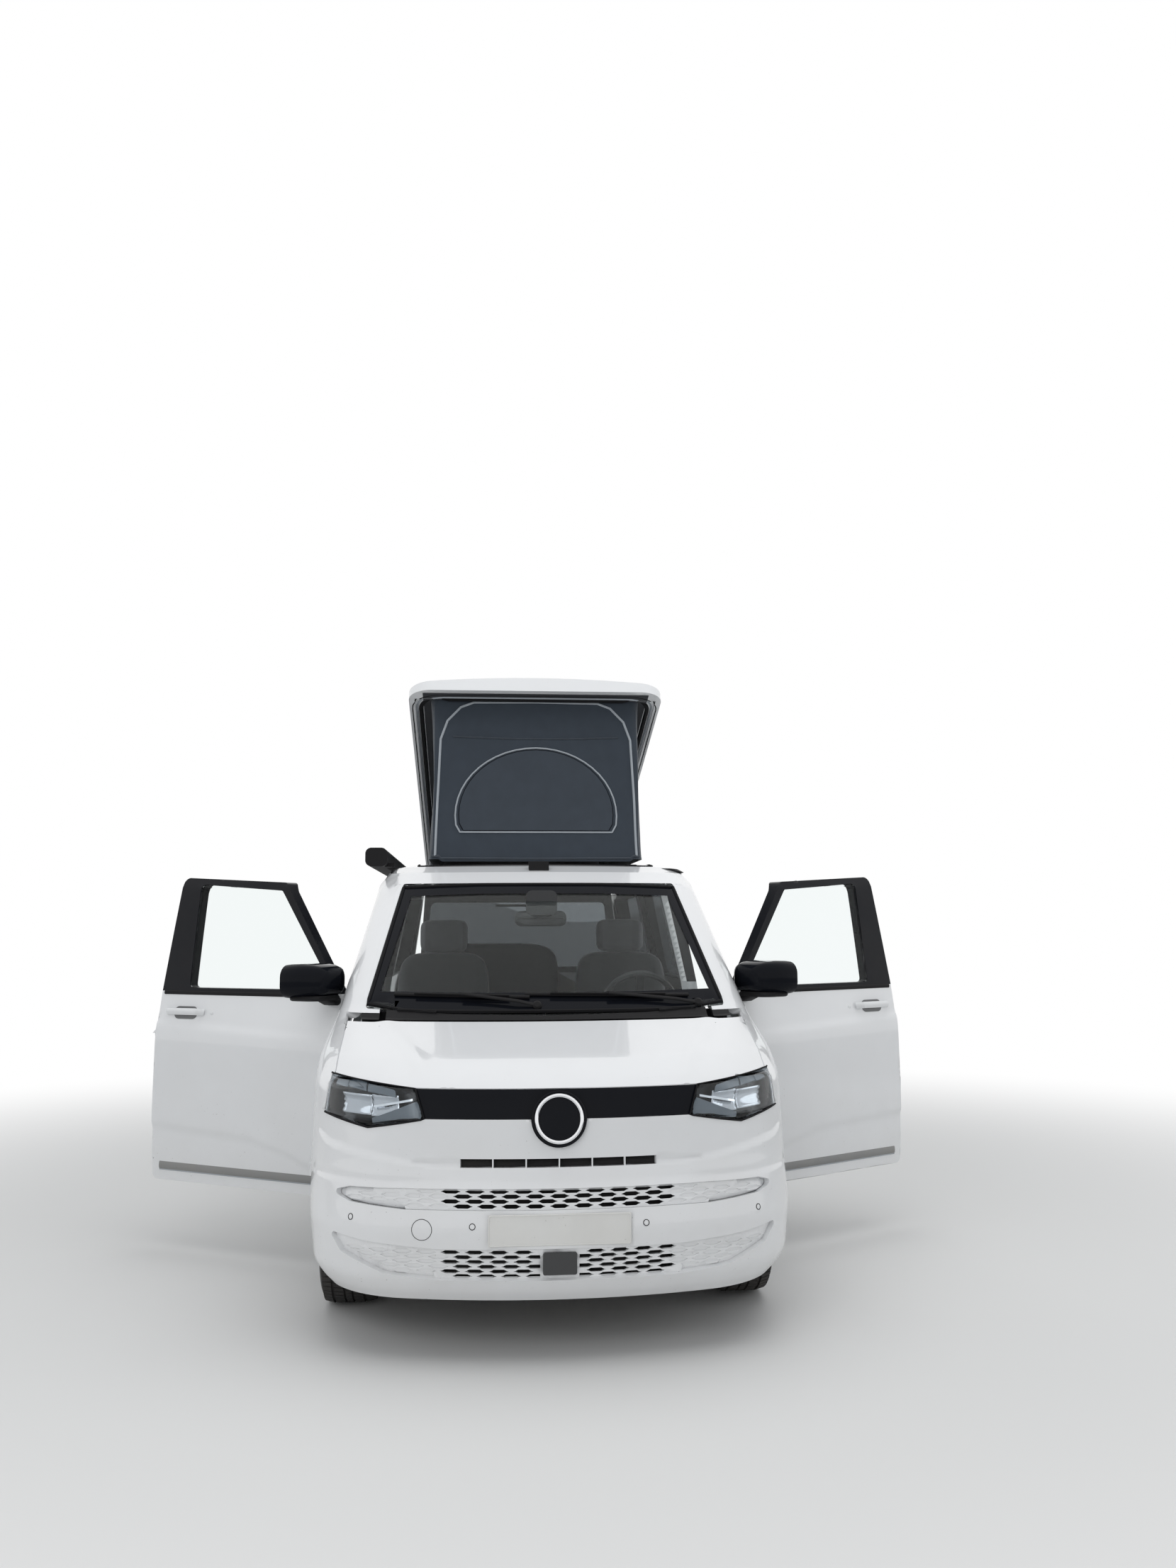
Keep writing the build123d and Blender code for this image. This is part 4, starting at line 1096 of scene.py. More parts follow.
@dataclass
class Studio:
    """Pale floor, soft lights, white surround and the camera."""

    eye: Point = (-0.3003, -7.2551, 1.5641)
    yaw: float = math.radians(5.007)
    pitch: float = math.radians(6.548)
    roll: float = math.radians(-0.267)
    lens: float = 28.69
    floor_size: float = 60.0
    fade: Flat = (2.6, 8.0)

    def build(self) -> None:
        """Make everything that isn't the van."""
        self._floor()
        self._lights()
        self._world()
        self._camera()

    def _floor(self) -> None:
        """A pale floor that reads as white where only the camera sees it."""
        mesh = bmesh.new()
        half = self.floor_size / 2
        add_box(mesh, (-half, -half, -0.05), (half, half, -0.0005))
        data = bpy.data.meshes.new("floor")
        mesh.to_mesh(data)
        mesh.free()
        floor = bpy.data.objects.new("floor", data)
        bpy.context.collection.objects.link(floor)
        made = bpy.data.materials.new("pale_floor")
        made.use_nodes = True
        wires = Wiring(made.node_tree)
        shader = made.node_tree.nodes["Principled BSDF"]
        wires.fill(shader, {"Base Color": opaque((0.72, 0.72, 0.71)), "Roughness": 0.75})
        far = wires.add("VectorMath", {0: wires.where()}, operation="LENGTH").outputs["Value"]
        share = wires.ramp(far, self.fade, (0.0, 1.0), "SMOOTHSTEP")
        seen = wires.maths("MULTIPLY", wires.ray_is("Camera", "Transmission"), share)
        wires.show(seen, shader, wires.add("Emission", {}), "Material Output")
        floor.data.materials.append(made)

    def _lights(self) -> None:
        """A broad overhead light, a soft front light, two gentle sides and one behind."""
        for name, spot, size, power, target in (
            ("overhead", (0.5, -1.0, 6.5), 8.0, 220.0, (0, 0, 0.8)),
            ("front", (-3.0, -8.5, 3.8), 5.0, 120.0, (0, -1.5, 0.9)),
            ("left", (8.0, -2.5, 3.0), 5.0, 70.0, (0, 0, 1.0)),
            ("right", (-8.0, 1.0, 3.5), 5.0, 70.0, (0, 0, 1.0)),
            ("back", (1.0, 9.0, 4.0), 5.0, 80.0, (0, 1.0, 1.0)),
        ):
            lamp = bpy.data.lights.new(name, "AREA")
            lamp.shape = "DISK"
            lamp.size = size
            lamp.energy = power
            holder = bpy.data.objects.new(name, lamp)
            holder.location = spot
            holder.visible_glossy = False
            holder.rotation_euler = (Vector(target) - Vector(spot)).to_track_quat("-Z", "Y").to_euler()
            bpy.context.collection.objects.link(holder)

    def _world(self) -> None:
        """Even light all round, white where it is seen, mirrored or looked at through glass."""
        world = bpy.data.worlds.new("studio")
        bpy.context.scene.world = world
        world.use_nodes = True
        wires = Wiring(world.node_tree)
        ground = world.node_tree.nodes["Background"]
        wires.fill(ground, {"Color": opaque((0.93, 0.96, 1.0)), "Strength": 0.45})
        white = wires.add("Background", {"Color": opaque((1.0, 1.0, 1.0)), "Strength": 1.0})
        wires.show(wires.ray_is("Camera", "Glossy", "Transmission"), ground, white, "World Output")

    def _camera(self) -> None:
        """The photograph's camera, from its place, its three angles and its lens."""
        level = math.cos(self.pitch)
        ahead = Vector((math.sin(self.yaw) * level, math.cos(self.yaw) * level, math.sin(self.pitch)))
        right = Vector((math.cos(self.yaw), -math.sin(self.yaw), 0.0))
        above = right.cross(ahead)
        turned_right = right * math.cos(self.roll) + above * math.sin(self.roll)
        turned_up = above * math.cos(self.roll) - right * math.sin(self.roll)
        data = bpy.data.cameras.new("camera")
        data.lens = self.lens
        data.sensor_width = 36.0
        data.clip_end = 200.0
        camera = bpy.data.objects.new("camera", data)
        matrix = Matrix((turned_right, turned_up, -ahead)).transposed().to_4x4()
        camera.matrix_world = Matrix.Translation(self.eye) @ matrix
        bpy.context.collection.objects.link(camera)
        bpy.context.scene.camera = camera
        bpy.context.scene.view_settings.view_transform = "Standard"


def skin_tree(*pieces: Object, matrix: Matrix | None = None) -> BVHTree:
    """Build a search tree over finished pieces.

    Args:
        pieces: The pieces.
        matrix: A move to apply to their corners first, or None.

    Returns:
        The tree.
    """
    corners: list[Vector] = []
    faces: list[tuple[int, ...]] = []
    for piece in pieces:
        start = len(corners)
        corners.extend(matrix @ vert.co if matrix else vert.co.copy() for vert in piece.data.vertices)
        faces.extend(tuple(start + i for i in face.vertices) for face in piece.data.polygons)
    return BVHTree.FromPolygons(corners, faces)


@dataclass
class Probe:
    """Finds the visible surface at a place seen along one direction."""

    tree: BVHTree
    direction: Vector
    reach: float = 3.5
    side_start: float = 0.0
    top_start: float = 3.5
    inner_start: float = 1.0

    def at(self, first: float, second: float, lift: float = 0.0) -> Vector:
        """Find the surface at a place.

        Args:
            first: X, or the way back where the direction is sideways.
            second: Height, or the way back where the direction is up or down.
            lift: How far to rise off the surface.

        Returns:
            The point.
        """
        return self.spot(self.start(first, second), lift)

    def start(self, first: float, second: float) -> Vector:
        """Where the search for a place starts, outside or in the middle of the van."""
        if self.direction.y:
            return Vector((first, -FAR * self.direction.y, second))
        if self.direction.x:
            return place(self.side_start, first, second)
        return place(first, second, self.inner_start if self.direction.z > 0 else self.top_start)

    def spot(self, start: Vector, lift: float = 0.0) -> Vector:
        """The first point hit from a start, lifted off the surface."""
        hit, normal, _, _ = self.tree.ray_cast(start, self.direction)
        if hit is None:
            hit, normal, _, _ = self.tree.find_nearest(start + self.direction * self.reach)
        if normal.dot(self.direction) > 0:
            normal = -normal
        return hit + normal * lift

    def normal(self, start: Vector) -> Vector:
        """The outward normal there."""
        hit, normal, _, _ = self.tree.ray_cast(start, self.direction)
        if hit is None:
            return -self.direction
        return -normal if normal.dot(self.direction) > 0 else normal


def draped_tube(mesh: Mesh, spots: Sequence[Vector], radius: float, closed: bool = False) -> None:
    """Add a thin six-sided tube along points that lie on a skin."""
    add_tube(mesh, spots, radius, sides=6, closed=closed)


def round_table(radius: float, steps: int) -> list[Flat]:
    """Corners of a circle."""
    turns = (2 * math.pi * k / steps for k in range(steps))
    return [(radius * math.cos(turn), radius * math.sin(turn)) for turn in turns]


@dataclass
class NoseTrim:
    """Blank badge, plate, sensors, covers and the dark duct behind the openings."""

    nodes: Nodes
    badge_back: float = 0.032
    badge_height: float = 0.865
    badge_tilt: Point = (0.0, -0.990, 0.139)
    ring_radius: float = 0.084
    rim_radius: float = 0.099
    plate_size: Flat = (0.520, 0.111)
    plate_height: float = 0.4775
    sensors: tuple[Flat, ...] = ((0.317, 0.491), (0.766, 0.506))
    tow_cover: tuple[float, float, float] = (-0.500, 0.477, 0.0365)
    radar_size: tuple[float, float, float] = (0.124, 0.080, 0.008)
    radar_height: float = 0.3585
    duct_depth: float = 0.045
    duct_half: float = 0.60
    duct_heights: Flat = (0.285, 0.735)

    def build(self) -> None:
        """Make every small piece of the nose."""
        self.front = Probe(skin_tree(bpy.data.objects["front_bumper_formed"]), Vector((0, 1, 0)))
        self._badge()
        self._plate_frame()
        self._sensors()
        self._tow_cover()
        self._radar()
        self._duct()

    def _turned(self, name: str, profile: Line, finish: Finish) -> None:
        """A round piece of the badge, turned about its axis."""
        mesh = bmesh.new()
        centre = place(0.0, self.badge_back, self.badge_height)
        add_round(mesh, centre, Vector(self.badge_tilt), profile, steps=96)
        if profile[0] == profile[-1]:
            bmesh.ops.remove_doubles(mesh, verts=mesh.verts, dist=TINY)
        mesh_piece(name, mesh, finish, "body")

    def _badge(self) -> None:
        """A plain chrome ring on a black disc, with a black rim round both."""
        r, outer = self.ring_radius, self.rim_radius
        self._turned("badge_ring", [
            (-0.003, r - 0.007), (0.002, r - 0.006), (0.004, r - 0.002), (0.004, r + 0.002),
            (0.002, r + 0.006), (-0.003, r + 0.007), (-0.003, r - 0.007),
        ], CHROME)
        disc = [(0.0022, 0.0), (0.0015, r - 0.014), (-0.002, r - 0.010), (-0.002, 0.0)]
        self._turned("badge_disc", disc, BLACK_GLOSS)
        self._turned("badge_rim", [
            (-0.004, outer - 0.004), (0.003, outer - 0.004), (0.004, outer - 0.001), (0.001, outer + 0.002),
            (-0.012, outer + 0.002), (-0.012, outer - 0.004), (-0.004, outer - 0.004),
        ], BLACK_GLOSS)

    def _plate_frame(self) -> None:
        """A thin raised edge round the blank front plate."""
        mesh = bmesh.new()
        width, height = self.plate_size
        ring = rounded_ring(width - 0.006, height - 0.006, 0.008)
        path = [place(x, 0.0, self.plate_height + z) for x, z in ring]
        add_tube(mesh, path, 0.0022, sides=8, closed=True)
        mesh_piece("plate_edge", mesh, PLATE_WHITE, "body")

    def _sensors(self) -> None:
        """Four parking sensors: a painted button in a thin dark ring."""
        ring, button = bmesh.new(), bmesh.new()
        ring_profile = [(-0.003, 0.0095), (0.0012, 0.0095), (0.0012, 0.0118), (-0.003, 0.0118)]
        button_profile = [(-0.003, 0.0), (-0.003, 0.0086), (0.0008, 0.0086), (0.0014, 0.0)]
        for side in (-1, 1):
            for x, height in self.sensors:
                start = self.front.start(side * x, height)
                spot, axis = self.front.spot(start), self.front.normal(start)
                add_round(ring, spot, axis, ring_profile, 32)
                add_round(button, spot, axis, button_profile, 32)
        mesh_piece("sensor_rings", ring, RUBBER_SEAL, "body")
        mesh_piece("sensor_buttons", button, WHITE_PAINT, "body")

    def _tow_cover(self) -> None:
        """The parting line of the round tow-eye cover."""
        x, height, radius = self.tow_cover
        mesh = bmesh.new()
        spots = [self.front.at(x + dx, height + dz, 0.0002) for dx, dz in round_table(radius, 64)]
        draped_tube(mesh, spots, 0.0011, closed=True)
        mesh_piece("tow_cover_line", mesh, RUBBER_SEAL, "body")

    def _radar(self) -> None:
        """The dark square cover in the middle of the lower grille."""
        mesh = bmesh.new()
        width, height, corner = self.radar_size
        rings = []
        for grow, back in ((0.0, 0.016), (0.0, 0.003), (-0.002, 0.001), (-0.060, -0.001)):
            scale = 1 + grow / (width / 2)
            rings.append([
                place(x * scale, back, self.radar_height + z * scale)
                for x, z in rounded_ring(width, height, corner)
            ])
        add_loft(mesh, rings)
        mesh_piece("radar_cover", mesh, SCREEN, "body")

    def _duct(self) -> None:
        """A dark curved panel that closes the openings from behind."""
        mesh = bmesh.new()
        low, high = self.duct_heights
        lines = []
        for row in range(9):
            height = low + (high - low) * row / 8
            line = []
            for column in range(41):
                x = self.duct_half * (2 * column / 40 - 1)
                bow = 0.018 + 0.115 * (x / 0.84) ** 2 + 0.095 * smoothstep(0.45, 0.86, abs(x))
                line.append(place(x, bow + self.duct_depth, height))
            lines.append(line)
        add_grid(mesh, lines)
        thicken(mesh_piece("nose_duct", mesh, MATT_BLACK, "body"), 0.004)


@dataclass
class Headlamps:
    """Clear lens, dark bowl, three light cells, faceted reflectors and the pale light guide."""

    nodes: Nodes
    lens_thickness: float = 0.003
    bowl_thickness: float = 0.002
    cell_height: float = 0.030
    cells: tuple[Flat, ...] = ((0.858, 0.805), (0.799, 0.728), (0.722, 0.610))
    seal_radius: float = 0.0045

    def build(self) -> None:
        """Build both lamps."""
        for side, word in SIDES:
            node = self.nodes[f"headlamp_{word}"]
            skin = FormedSkin(node.name, Facing.FRONT, no_relief)
            outer, inside = skin.split(node.data, Matrix.Identity(4))
            self._seal(outer, word)
            self.front = Probe(BVHTree.FromBMesh(outer), Vector((0, 1, 0)))
            lens = mesh_piece(f"headlamp_lens_{word}", outer, LAMP_LENS, "body")
            thicken(lens, self.lens_thickness)
            bowl = bmesh.new()
            bowl.from_mesh(inside)
            bpy.data.meshes.remove(inside)
            name = f"headlamp_bowl_{word}"
            bowl_piece = mesh_piece(name, bowl, LAMP_BOWL, "body", flip=False)
            thicken(bowl_piece, self.bowl_thickness)
            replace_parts(lens, node.name)
            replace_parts(bowl_piece, node.name)
            self._cells(side, word)
            self._reflectors(side, word)
            self._guide(side, word)

    def _spot(self, side: int, x: float, height: float, depth: float) -> Vector:
        """A point inside the lamp, this far behind the lens."""
        return self.front.at(side * x, height, -depth)

    def _seal(self, outer: Mesh, word: str) -> None:
        """A black seal round the lens."""
        loop = self._boundary(outer)
        mesh = bmesh.new()
        add_tube(mesh, loop, self.seal_radius, sides=8, closed=True, flat=0.7)
        mesh_piece(f"headlamp_seal_{word}", mesh, RUBBER_SEAL, "body")

    @staticmethod
    def _boundary(outer: Mesh) -> list[Vector]:
        """The outline of a patch as ordered points, at least 3 mm apart."""
        edges = [edge for edge in outer.edges if edge.is_boundary]
        links: dict[bmesh.types.BMVert, list[bmesh.types.BMVert]] = {}
        for edge in edges:
            first, second = edge.verts
            links.setdefault(first, []).append(second)
            links.setdefault(second, []).append(first)
        start = edges[0].verts[0]
        loop, last, here = [start], None, start
        while True:
            ahead = [v for v in links[here] if v is not last]
            if not ahead or ahead[0] is start:
                break
            last, here = here, ahead[0]
            loop.append(here)
        points = [loop[0].co.copy()]
        for vert in loop[1:]:
            if (vert.co - points[-1]).length > 0.003:
                points.append(vert.co.copy())
        return points

    def _cells(self, side: int, word: str) -> None:
        """Three slim day-light cells along the top of the outer third."""
        mesh = bmesh.new()
        for outer_x, inner_x in self.cells:
            rings = []
            for share, depth in ((1.0, 0.020), (1.0, 0.012), (0.86, 0.010)):
                ring = []
                for x, up in ((outer_x, 0), (inner_x, 0), (inner_x, 1), (outer_x, 1)):
                    middle = (outer_x + inner_x) / 2
                    wide = middle + (x - middle) * share
                    top = 0.978 + 0.034 * (wide - 0.61) / 0.25 - 0.012
                    height = top - self.cell_height * (0.5 + (0.5 - up) * share)
                    ring.append(self._spot(side, wide, height, depth))
                rings.append(ring)
            add_loft(mesh, rings)
        mesh_piece(f"headlamp_cells_{word}", mesh, LIGHT_BAR, "body", bevel=0.0015)

    def _reflectors(self, side: int, word: str) -> None:
        """Two faceted reflector bowls set side by side."""
        mesh = bmesh.new()
        for x_mid, z_mid, width, height in ((0.770, 0.905, 0.120, 0.072), (0.655, 0.905, 0.105, 0.078)):
            lines = []
            for row in range(9):
                line = []
                for column in range(13):
                    u, v = column / 12 * 2 - 1, row / 8 * 2 - 1
                    deep = 0.036 - 0.020 * (u * u + v * v) / 2
                    ripple = 0.0035 * ((column % 2) - 0.5) * ((row % 2) * 2 - 1)
                    across, up = x_mid + u * width / 2, z_mid + v * height / 2
                    line.append(self._spot(side, across, up, deep + ripple))
                lines.append(line)
            add_grid(mesh, lines)
        thicken(mesh_piece(f"headlamp_reflectors_{word}", mesh, REFLECTOR, "body"), 0.0015)

    def _guide(self, side: int, word: str) -> None:
        """Pale light guide from the inner end out along the bottom, and a chrome fin above it."""
        mesh, fin = bmesh.new(), bmesh.new()
        rings = []
        for t in spaced(0.0, 1.0, 8):
            x, low = 0.512 + 0.190 * t, 0.868 - 0.022 * t
            high = low + 0.052 * (1 - t) + 0.012
            section = ((low, 0.014), (high, 0.012), (high, 0.020), (low, 0.022))
            rings.append([self._spot(side, x, height, depth) for height, depth in section])
        add_loft(mesh, rings)
        mesh_piece(f"headlamp_guide_{word}", mesh, LIGHT_BAR, "body", bevel=0.001)
        rings = []
        for t in spaced(0.0, 1.0, 6):
            x, middle = 0.545 + 0.150 * t, 0.930 - 0.030 * t
            section = ((-0.004, 0.012), (0.004, 0.012), (0.003, 0.022), (-0.003, 0.022))
            rings.append([self._spot(side, x, middle + up, depth) for up, depth in section])
        add_loft(fin, rings)
        mesh_piece(f"headlamp_fin_{word}", fin, CHROME, "body")


@dataclass
class PiercedSkin(FormedSkin):
    """A formed skin with holes cut through it."""

    holes: list[list[Vector]] = field(default_factory=list)

    def _outline(
        self, flat: list[Vector], edges: list[tuple[int, int]]
    ) -> tuple[list[Vector], list[tuple[int, int]]]:
        """Add the outlines of the holes to the outline of the patch.

        Args:
            flat: Flat corners of the patch.
            edges: The patch's own outline edges, as pairs of corner numbers.

        Returns:
            All outline points, and the edges as pairs of point numbers.
        """
        points, links = super()._outline(flat, edges)
        for hole in self.holes:
            first = len(points)
            points.extend(hole)
            count = len(hole)
            links.extend((first + k, first + (k + 1) % count) for k in range(count))
        return points, links

    def _inside(self, point: Vector, tree: BVHTree) -> bool:
        """Whether a flat point lies on the patch and in no hole."""
        if not super()._inside(point, tree):
            return False
        return not any(
            abs(point.x - hole[0].x) < 0.12 and self._in_hole(point, hole) for hole in self.holes
        )

    @staticmethod
    def _in_hole(point: Vector, hole: list[Vector]) -> bool:
        """Whether a flat point lies in a convex hole."""
        signs = set()
        for here, ahead in zip(hole, hole[1:] + hole[:1]):
            cross = (ahead.x - here.x) * (point.y - here.y) - (ahead.y - here.y) * (point.x - here.x)
            signs.add(cross > 0)
        return len(signs) == 1

    def pierced(self, source: Object) -> Mesh:
        """The skin alone, with its holes, on the face of the node."""
        solid, inside = self.split(source.data, Matrix.Identity(4))
        bpy.data.meshes.remove(inside)
        return self._cover(solid, filled=False)


@dataclass(frozen=True)
class GrilleRows:
    """Where the openings of one grille lie."""

    node: str
    top: float
    rows: int
    tip: float


@dataclass
class Grilles:
    """Two long grilles of flat hexagons, open in the middle and closed towards the tips."""

    nodes: Nodes
    pitch: float = 0.088
    length: float = 0.074
    flat: float = 0.038
    height: float = 0.0142
    row_pitch: float = 0.017
    open_half: float = 0.405
    radar_half: float = 0.071
    radar_heights: Flat = (0.310, 0.407)
    depth: float = 0.010
    pocket: float = 0.0035
    grilles: tuple[GrilleRows, ...] = (
        GrilleRows("grille_upper", 0.608, 4, 0.790), GrilleRows("grille_lower", 0.397, 6, 0.760),
    )

    def build(self) -> None:
        """Cut both grilles and close their outer pockets."""
        for grille in self.grilles:
            node = self.nodes[grille.node]
            front = Probe(skin_tree(node), Vector((0, 1, 0)))
            holes, closed = self._holes(grille, front)
            skin = PiercedSkin(grille.node, Facing.FRONT, no_relief, least=0.02, holes=holes)
            name = f"{grille.node}_mesh"
            piece = mesh_piece(name, skin.pierced(node), WHITE_PAINT, "body", flip=False)
            thicken(piece, self.depth)
            soft = piece.modifiers.new("soft edges", "BEVEL")
            soft.width = 0.0012
            soft.segments = 2
            soft.angle_limit = math.radians(50)
            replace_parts(piece, grille.node)
            self._floors(grille, front, closed)

    def _centres(self, grille: GrilleRows) -> list[Flat]:
        """Middles of the hexagons, as (x, height)."""
        spots = []
        for row in range(grille.rows):
            height = grille.top - self.row_pitch * row
            start = 0.0 if row % 2 else self.pitch / 2
            step = 0
            while start + step * self.pitch <= grille.tip:
                x = start + step * self.pitch
                spots.extend([(x, height)] if x == 0 else [(x, height), (-x, height)])
                step += 1
        return spots

    def _hexagon(self, x: float, height: float, grow: float = 0.0) -> list[Flat]:
        """Corners of one long hexagon with eased shoulders."""
        half, shoulder, up = self.length / 2 + grow, self.flat / 2, self.height / 2 + grow
        eased, part = half * 0.72, up * 0.45
        return [
            (x - half, height), (x - eased, height + part), (x - shoulder, height + up),
            (x + shoulder, height + up), (x + eased, height + part), (x + half, height),
            (x + eased, height - part), (x + shoulder, height - up),
            (x - shoulder, height - up), (x - eased, height - part),
        ]

    def _holes(self, grille: GrilleRows, front: Probe) -> tuple[list[list[Vector]], list[Flat]]:
        """Find the hexagons that lie whole on the grille, trimmed beside the radar cover.

        Args:
            grille: Which grille.
            front: Finds its face.

        Returns:
            Their flat outlines, and the middles of those that are closed pockets.
        """
        holes, closed = [], []
        low, high = self.radar_heights
        for x, height in self._centres(grille):
            corners = self._hexagon(x, height)
            by_radar = any(abs(cx) < self.radar_half and low < cz < high for cx, cz in corners)
            if grille.node == "grille_lower" and by_radar:
                if abs(x) < self.radar_half + 0.004 and low < height < high:
                    continue
                edge = math.copysign(self.radar_half, x)
                corners = [(edge if abs(cx) < self.radar_half else cx, cz) for cx, cz in corners]
            outline = self._hexagon(x, height, 0.002)
            if not all(self._hit(front, corner) for corner in outline):
                continue
            flat = []
            for corner in corners:
                hit = self._hit(front, corner)
                spot = Facing.FRONT.flat(hit)
                if not flat or (spot - flat[-1]).length > 1e-4:
                    flat.append(spot)
            if len(flat) > 2:
                holes.append(flat)
                if abs(x) > self.open_half:
                    closed.append((x, height))
        return holes, closed

    @staticmethod
    def _hit(front: Probe, corner: Flat) -> Vector | None:
        """Where a place lies on the grille's face, or None beside it."""
        return front.tree.ray_cast(front.start(*corner), front.direction)[0]

    def _floors(self, grille: GrilleRows, front: Probe, closed: list[Flat]) -> None:
        """White floors a little way inside the outer hexagons."""
        mesh = bmesh.new()
        for x, height in closed:
            ring = [front.at(*corner, -self.pocket) for corner in self._hexagon(x, height, 0.0015)]
            add_loft(mesh, [[corner + Vector((0, 0.004, 0)) for corner in ring], ring])
        mesh_piece(f"{grille.node}_floors", mesh, WHITE_PAINT, "body")


def pull_bar(mesh: Mesh, beside: Probe, back: float, side: int) -> None:
    """Add a door's pull bar, bowed out from the skin between its two feet.

    Args:
        mesh: Where it goes.
        beside: Finds the skin from outside.
        back: Where it starts, behind the nose.
        side: 1 for the left, -1 for the right.
    """
    spots = []
    for share in spaced(0.0, 1.0, 24):
        lift = 0.006 + 0.030 * min(1.0, math.sin(math.pi * share) * 2.6)
        spots.append(beside.at(back + 0.235 * share, 1.152, lift))
    add_tube(mesh, spots, 0.0165, sides=16, flat=0.42, up=Vector((side, 0, 0)))


def divided(line: Line, step: float, closed: bool = False) -> list[Flat]:
    """Points along a flat line no further apart than a step."""
    corners = list(line) + ([line[0]] if closed else [])
    points = []
    for (x0, y0), (x1, y1) in zip(corners, corners[1:]):
        parts = max(1, math.ceil(math.hypot(x1 - x0, y1 - y0) / step))
        points += [(x0 + (x1 - x0) * k / parts, y0 + (y1 - y0) * k / parts) for k in range(parts)]
    return points if closed else points + [tuple(corners[-1])]


@dataclass
class PopUpRoof:
    """The raised sleeping roof: its canvas with a window and piping, and the underside of the lid."""

    nodes: Nodes
    base: float = 1.9075
    half: float = 0.560
    foot_back: float = 1.852
    top_back: float = 1.946
    top: float = 2.788
    rear_back: float = 4.54
    corner: float = 0.055
    sheet_size: Flat = (6.45, 0.90)
    sheet_area: float = 3.36
    joint: str = "roof_lid_lower"
    folded: float = 0.012
    zip_share: float = 0.955
    flap_middle: float = 2.26

    def build(self) -> None:
        """Make every piece of the roof."""
        canvas = self._canvas()
        fold = [(-0.44, 2.575), (-0.15, 2.566), (0.15, 2.566), (0.44, 2.575)]
        hem = [(-0.545, 1.925), (0.0, 1.921), (0.545, 1.925)]
        trims = [
            self._seam("canvas_piping", self._piping(), 0.0065, PIPING),
            self._seam("canvas_window_seam", self._window(1.0), 0.0045, PIPING, closed=True),
            self._seam("canvas_window_zip", self._window(self.zip_share), 0.0030, BLACK_GLOSS, closed=True),
            self._seam("canvas_fold_seam", fold, 0.004, CANVAS_FLAP),
            self._seam("canvas_hem", hem, 0.006, CANVAS_FLAP),
            self._flap(),
        ]
        for piece in (canvas, *trims):
            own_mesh(piece)
        self._underside()
        self._opening_seal()

    def _spot(self, along_band: float, share: float, lift: float = 0.0) -> Vector:
        """Find a point of the canvas.

        Args:
            along_band: The way along its band from the middle of the front.
            share: The share of its height.
            lift: How far to rise off the cloth.

        Returns:
            The point.
        """
        foot = self.foot_back + (self.top_back - self.foot_back) * share
        front = self.half - self.corner
        side = math.copysign(1.0, along_band)
        run = abs(along_band) - front
        arc = self.corner * math.pi / 2
        if run <= 0:
            x, back, normal = along_band, foot, Vector((0, -1, 0))
        elif run < arc:
            angle = run / self.corner
            normal = Vector((side * math.sin(angle), -math.cos(angle), 0))
            x = side * (front + self.corner * math.sin(angle))
            back = foot + self.corner * (1 - math.cos(angle))
        else:
            normal = Vector((side, 0, 0))
            x, back = side * self.half, foot + self.corner + (run - arc)
        back = min(back, self.rear_back)
        reach = (self.rear_back - back) / (self.rear_back - self.top_back)
        height = self.base + self.folded
        height += (self.top - self.base - self.folded) * min(1.0, reach) * share
        if run <= 0:
            height = self.base + (self.top - self.base) * share
        return Vector((x, back - HALF_LENGTH, height)) + normal * (lift + self._wrinkle(along_band, share))

    def _wrinkle(self, along_band: float, share: float) -> float:
        """Sag between the frames with the soft folds of stretched cloth."""
        taut = math.sin(math.pi * min(max(share, 0), 1)) ** 0.6
        sag = -0.014 * taut * (1 if abs(along_band) > self.half else 1 - (along_band / self.half) ** 4)
        coarse = noise.noise(Vector((along_band * 3.1, share * 2.2, 0.4))) * 0.010
        creases = noise.noise(Vector((along_band * 17 + share * 3, share * 4.5, 2.7))) * 0.0028
        corners = math.sin(abs(along_band) * 46 - share * 9) * 0.0022
        corners *= smoothstep(0.30, 0.54, abs(along_band))
        return sag + (coarse + creases + corners * (1 - share * 0.6)) * taut

    def _canvas(self) -> Object:
        """The cloth, one band from the rear left round the front to the rear right."""
        mesh = bmesh.new()
        reach = self.half - self.corner + self.corner * math.pi / 2
        reach += self.rear_back - self.foot_back - self.corner
        columns = [reach * (2 * i / 380 - 1) for i in range(381)]
        add_grid(mesh, [[self._spot(column, row / 56) for row in range(57)] for column in columns])
        bmesh.ops.remove_doubles(mesh, verts=mesh.verts, dist=1e-5)
        canvas = mesh_piece("roof_canvas_cloth", mesh, CANVAS, "body")
        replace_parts(canvas, "roof_canvas")
        return canvas

    def _on_front(self, x: float, height: float, lift: float) -> Vector:
        """A point of the canvas front."""
        return self._spot(x, (height - self.base) / (self.top - self.base), lift)

    def _seam(
        self, name: str, line: Line, radius: float, finish: Finish, closed: bool = False
    ) -> Object:
        """Sew a thin cord along a line of the canvas front.

        Args:
            name: The piece's name.
            line: The line, as (x, height).
            radius: Half the cord's width.
            finish: Its surface finish.
            closed: Whether the line's end meets its start.

        Returns:
            The cord.
        """
        mesh = bmesh.new()
        spots = [self._on_front(x, z, 0.0015) for x, z in divided(line, 0.012, closed)]
        draped_tube(mesh, spots, radius, closed)
        return mesh_piece(name, mesh, finish, "body")

    def _piping(self) -> list[Flat]:
        """The inverted U of pale piping."""
        left = [
            (-0.527, 1.925), (-0.518, 2.25), (-0.505, 2.56), (-0.47, 2.66), (-0.40, 2.735), (-0.33, 2.762),
        ]
        return left + [(0.0, 2.766)] + [(-x, z) for x, z in reversed(left)]

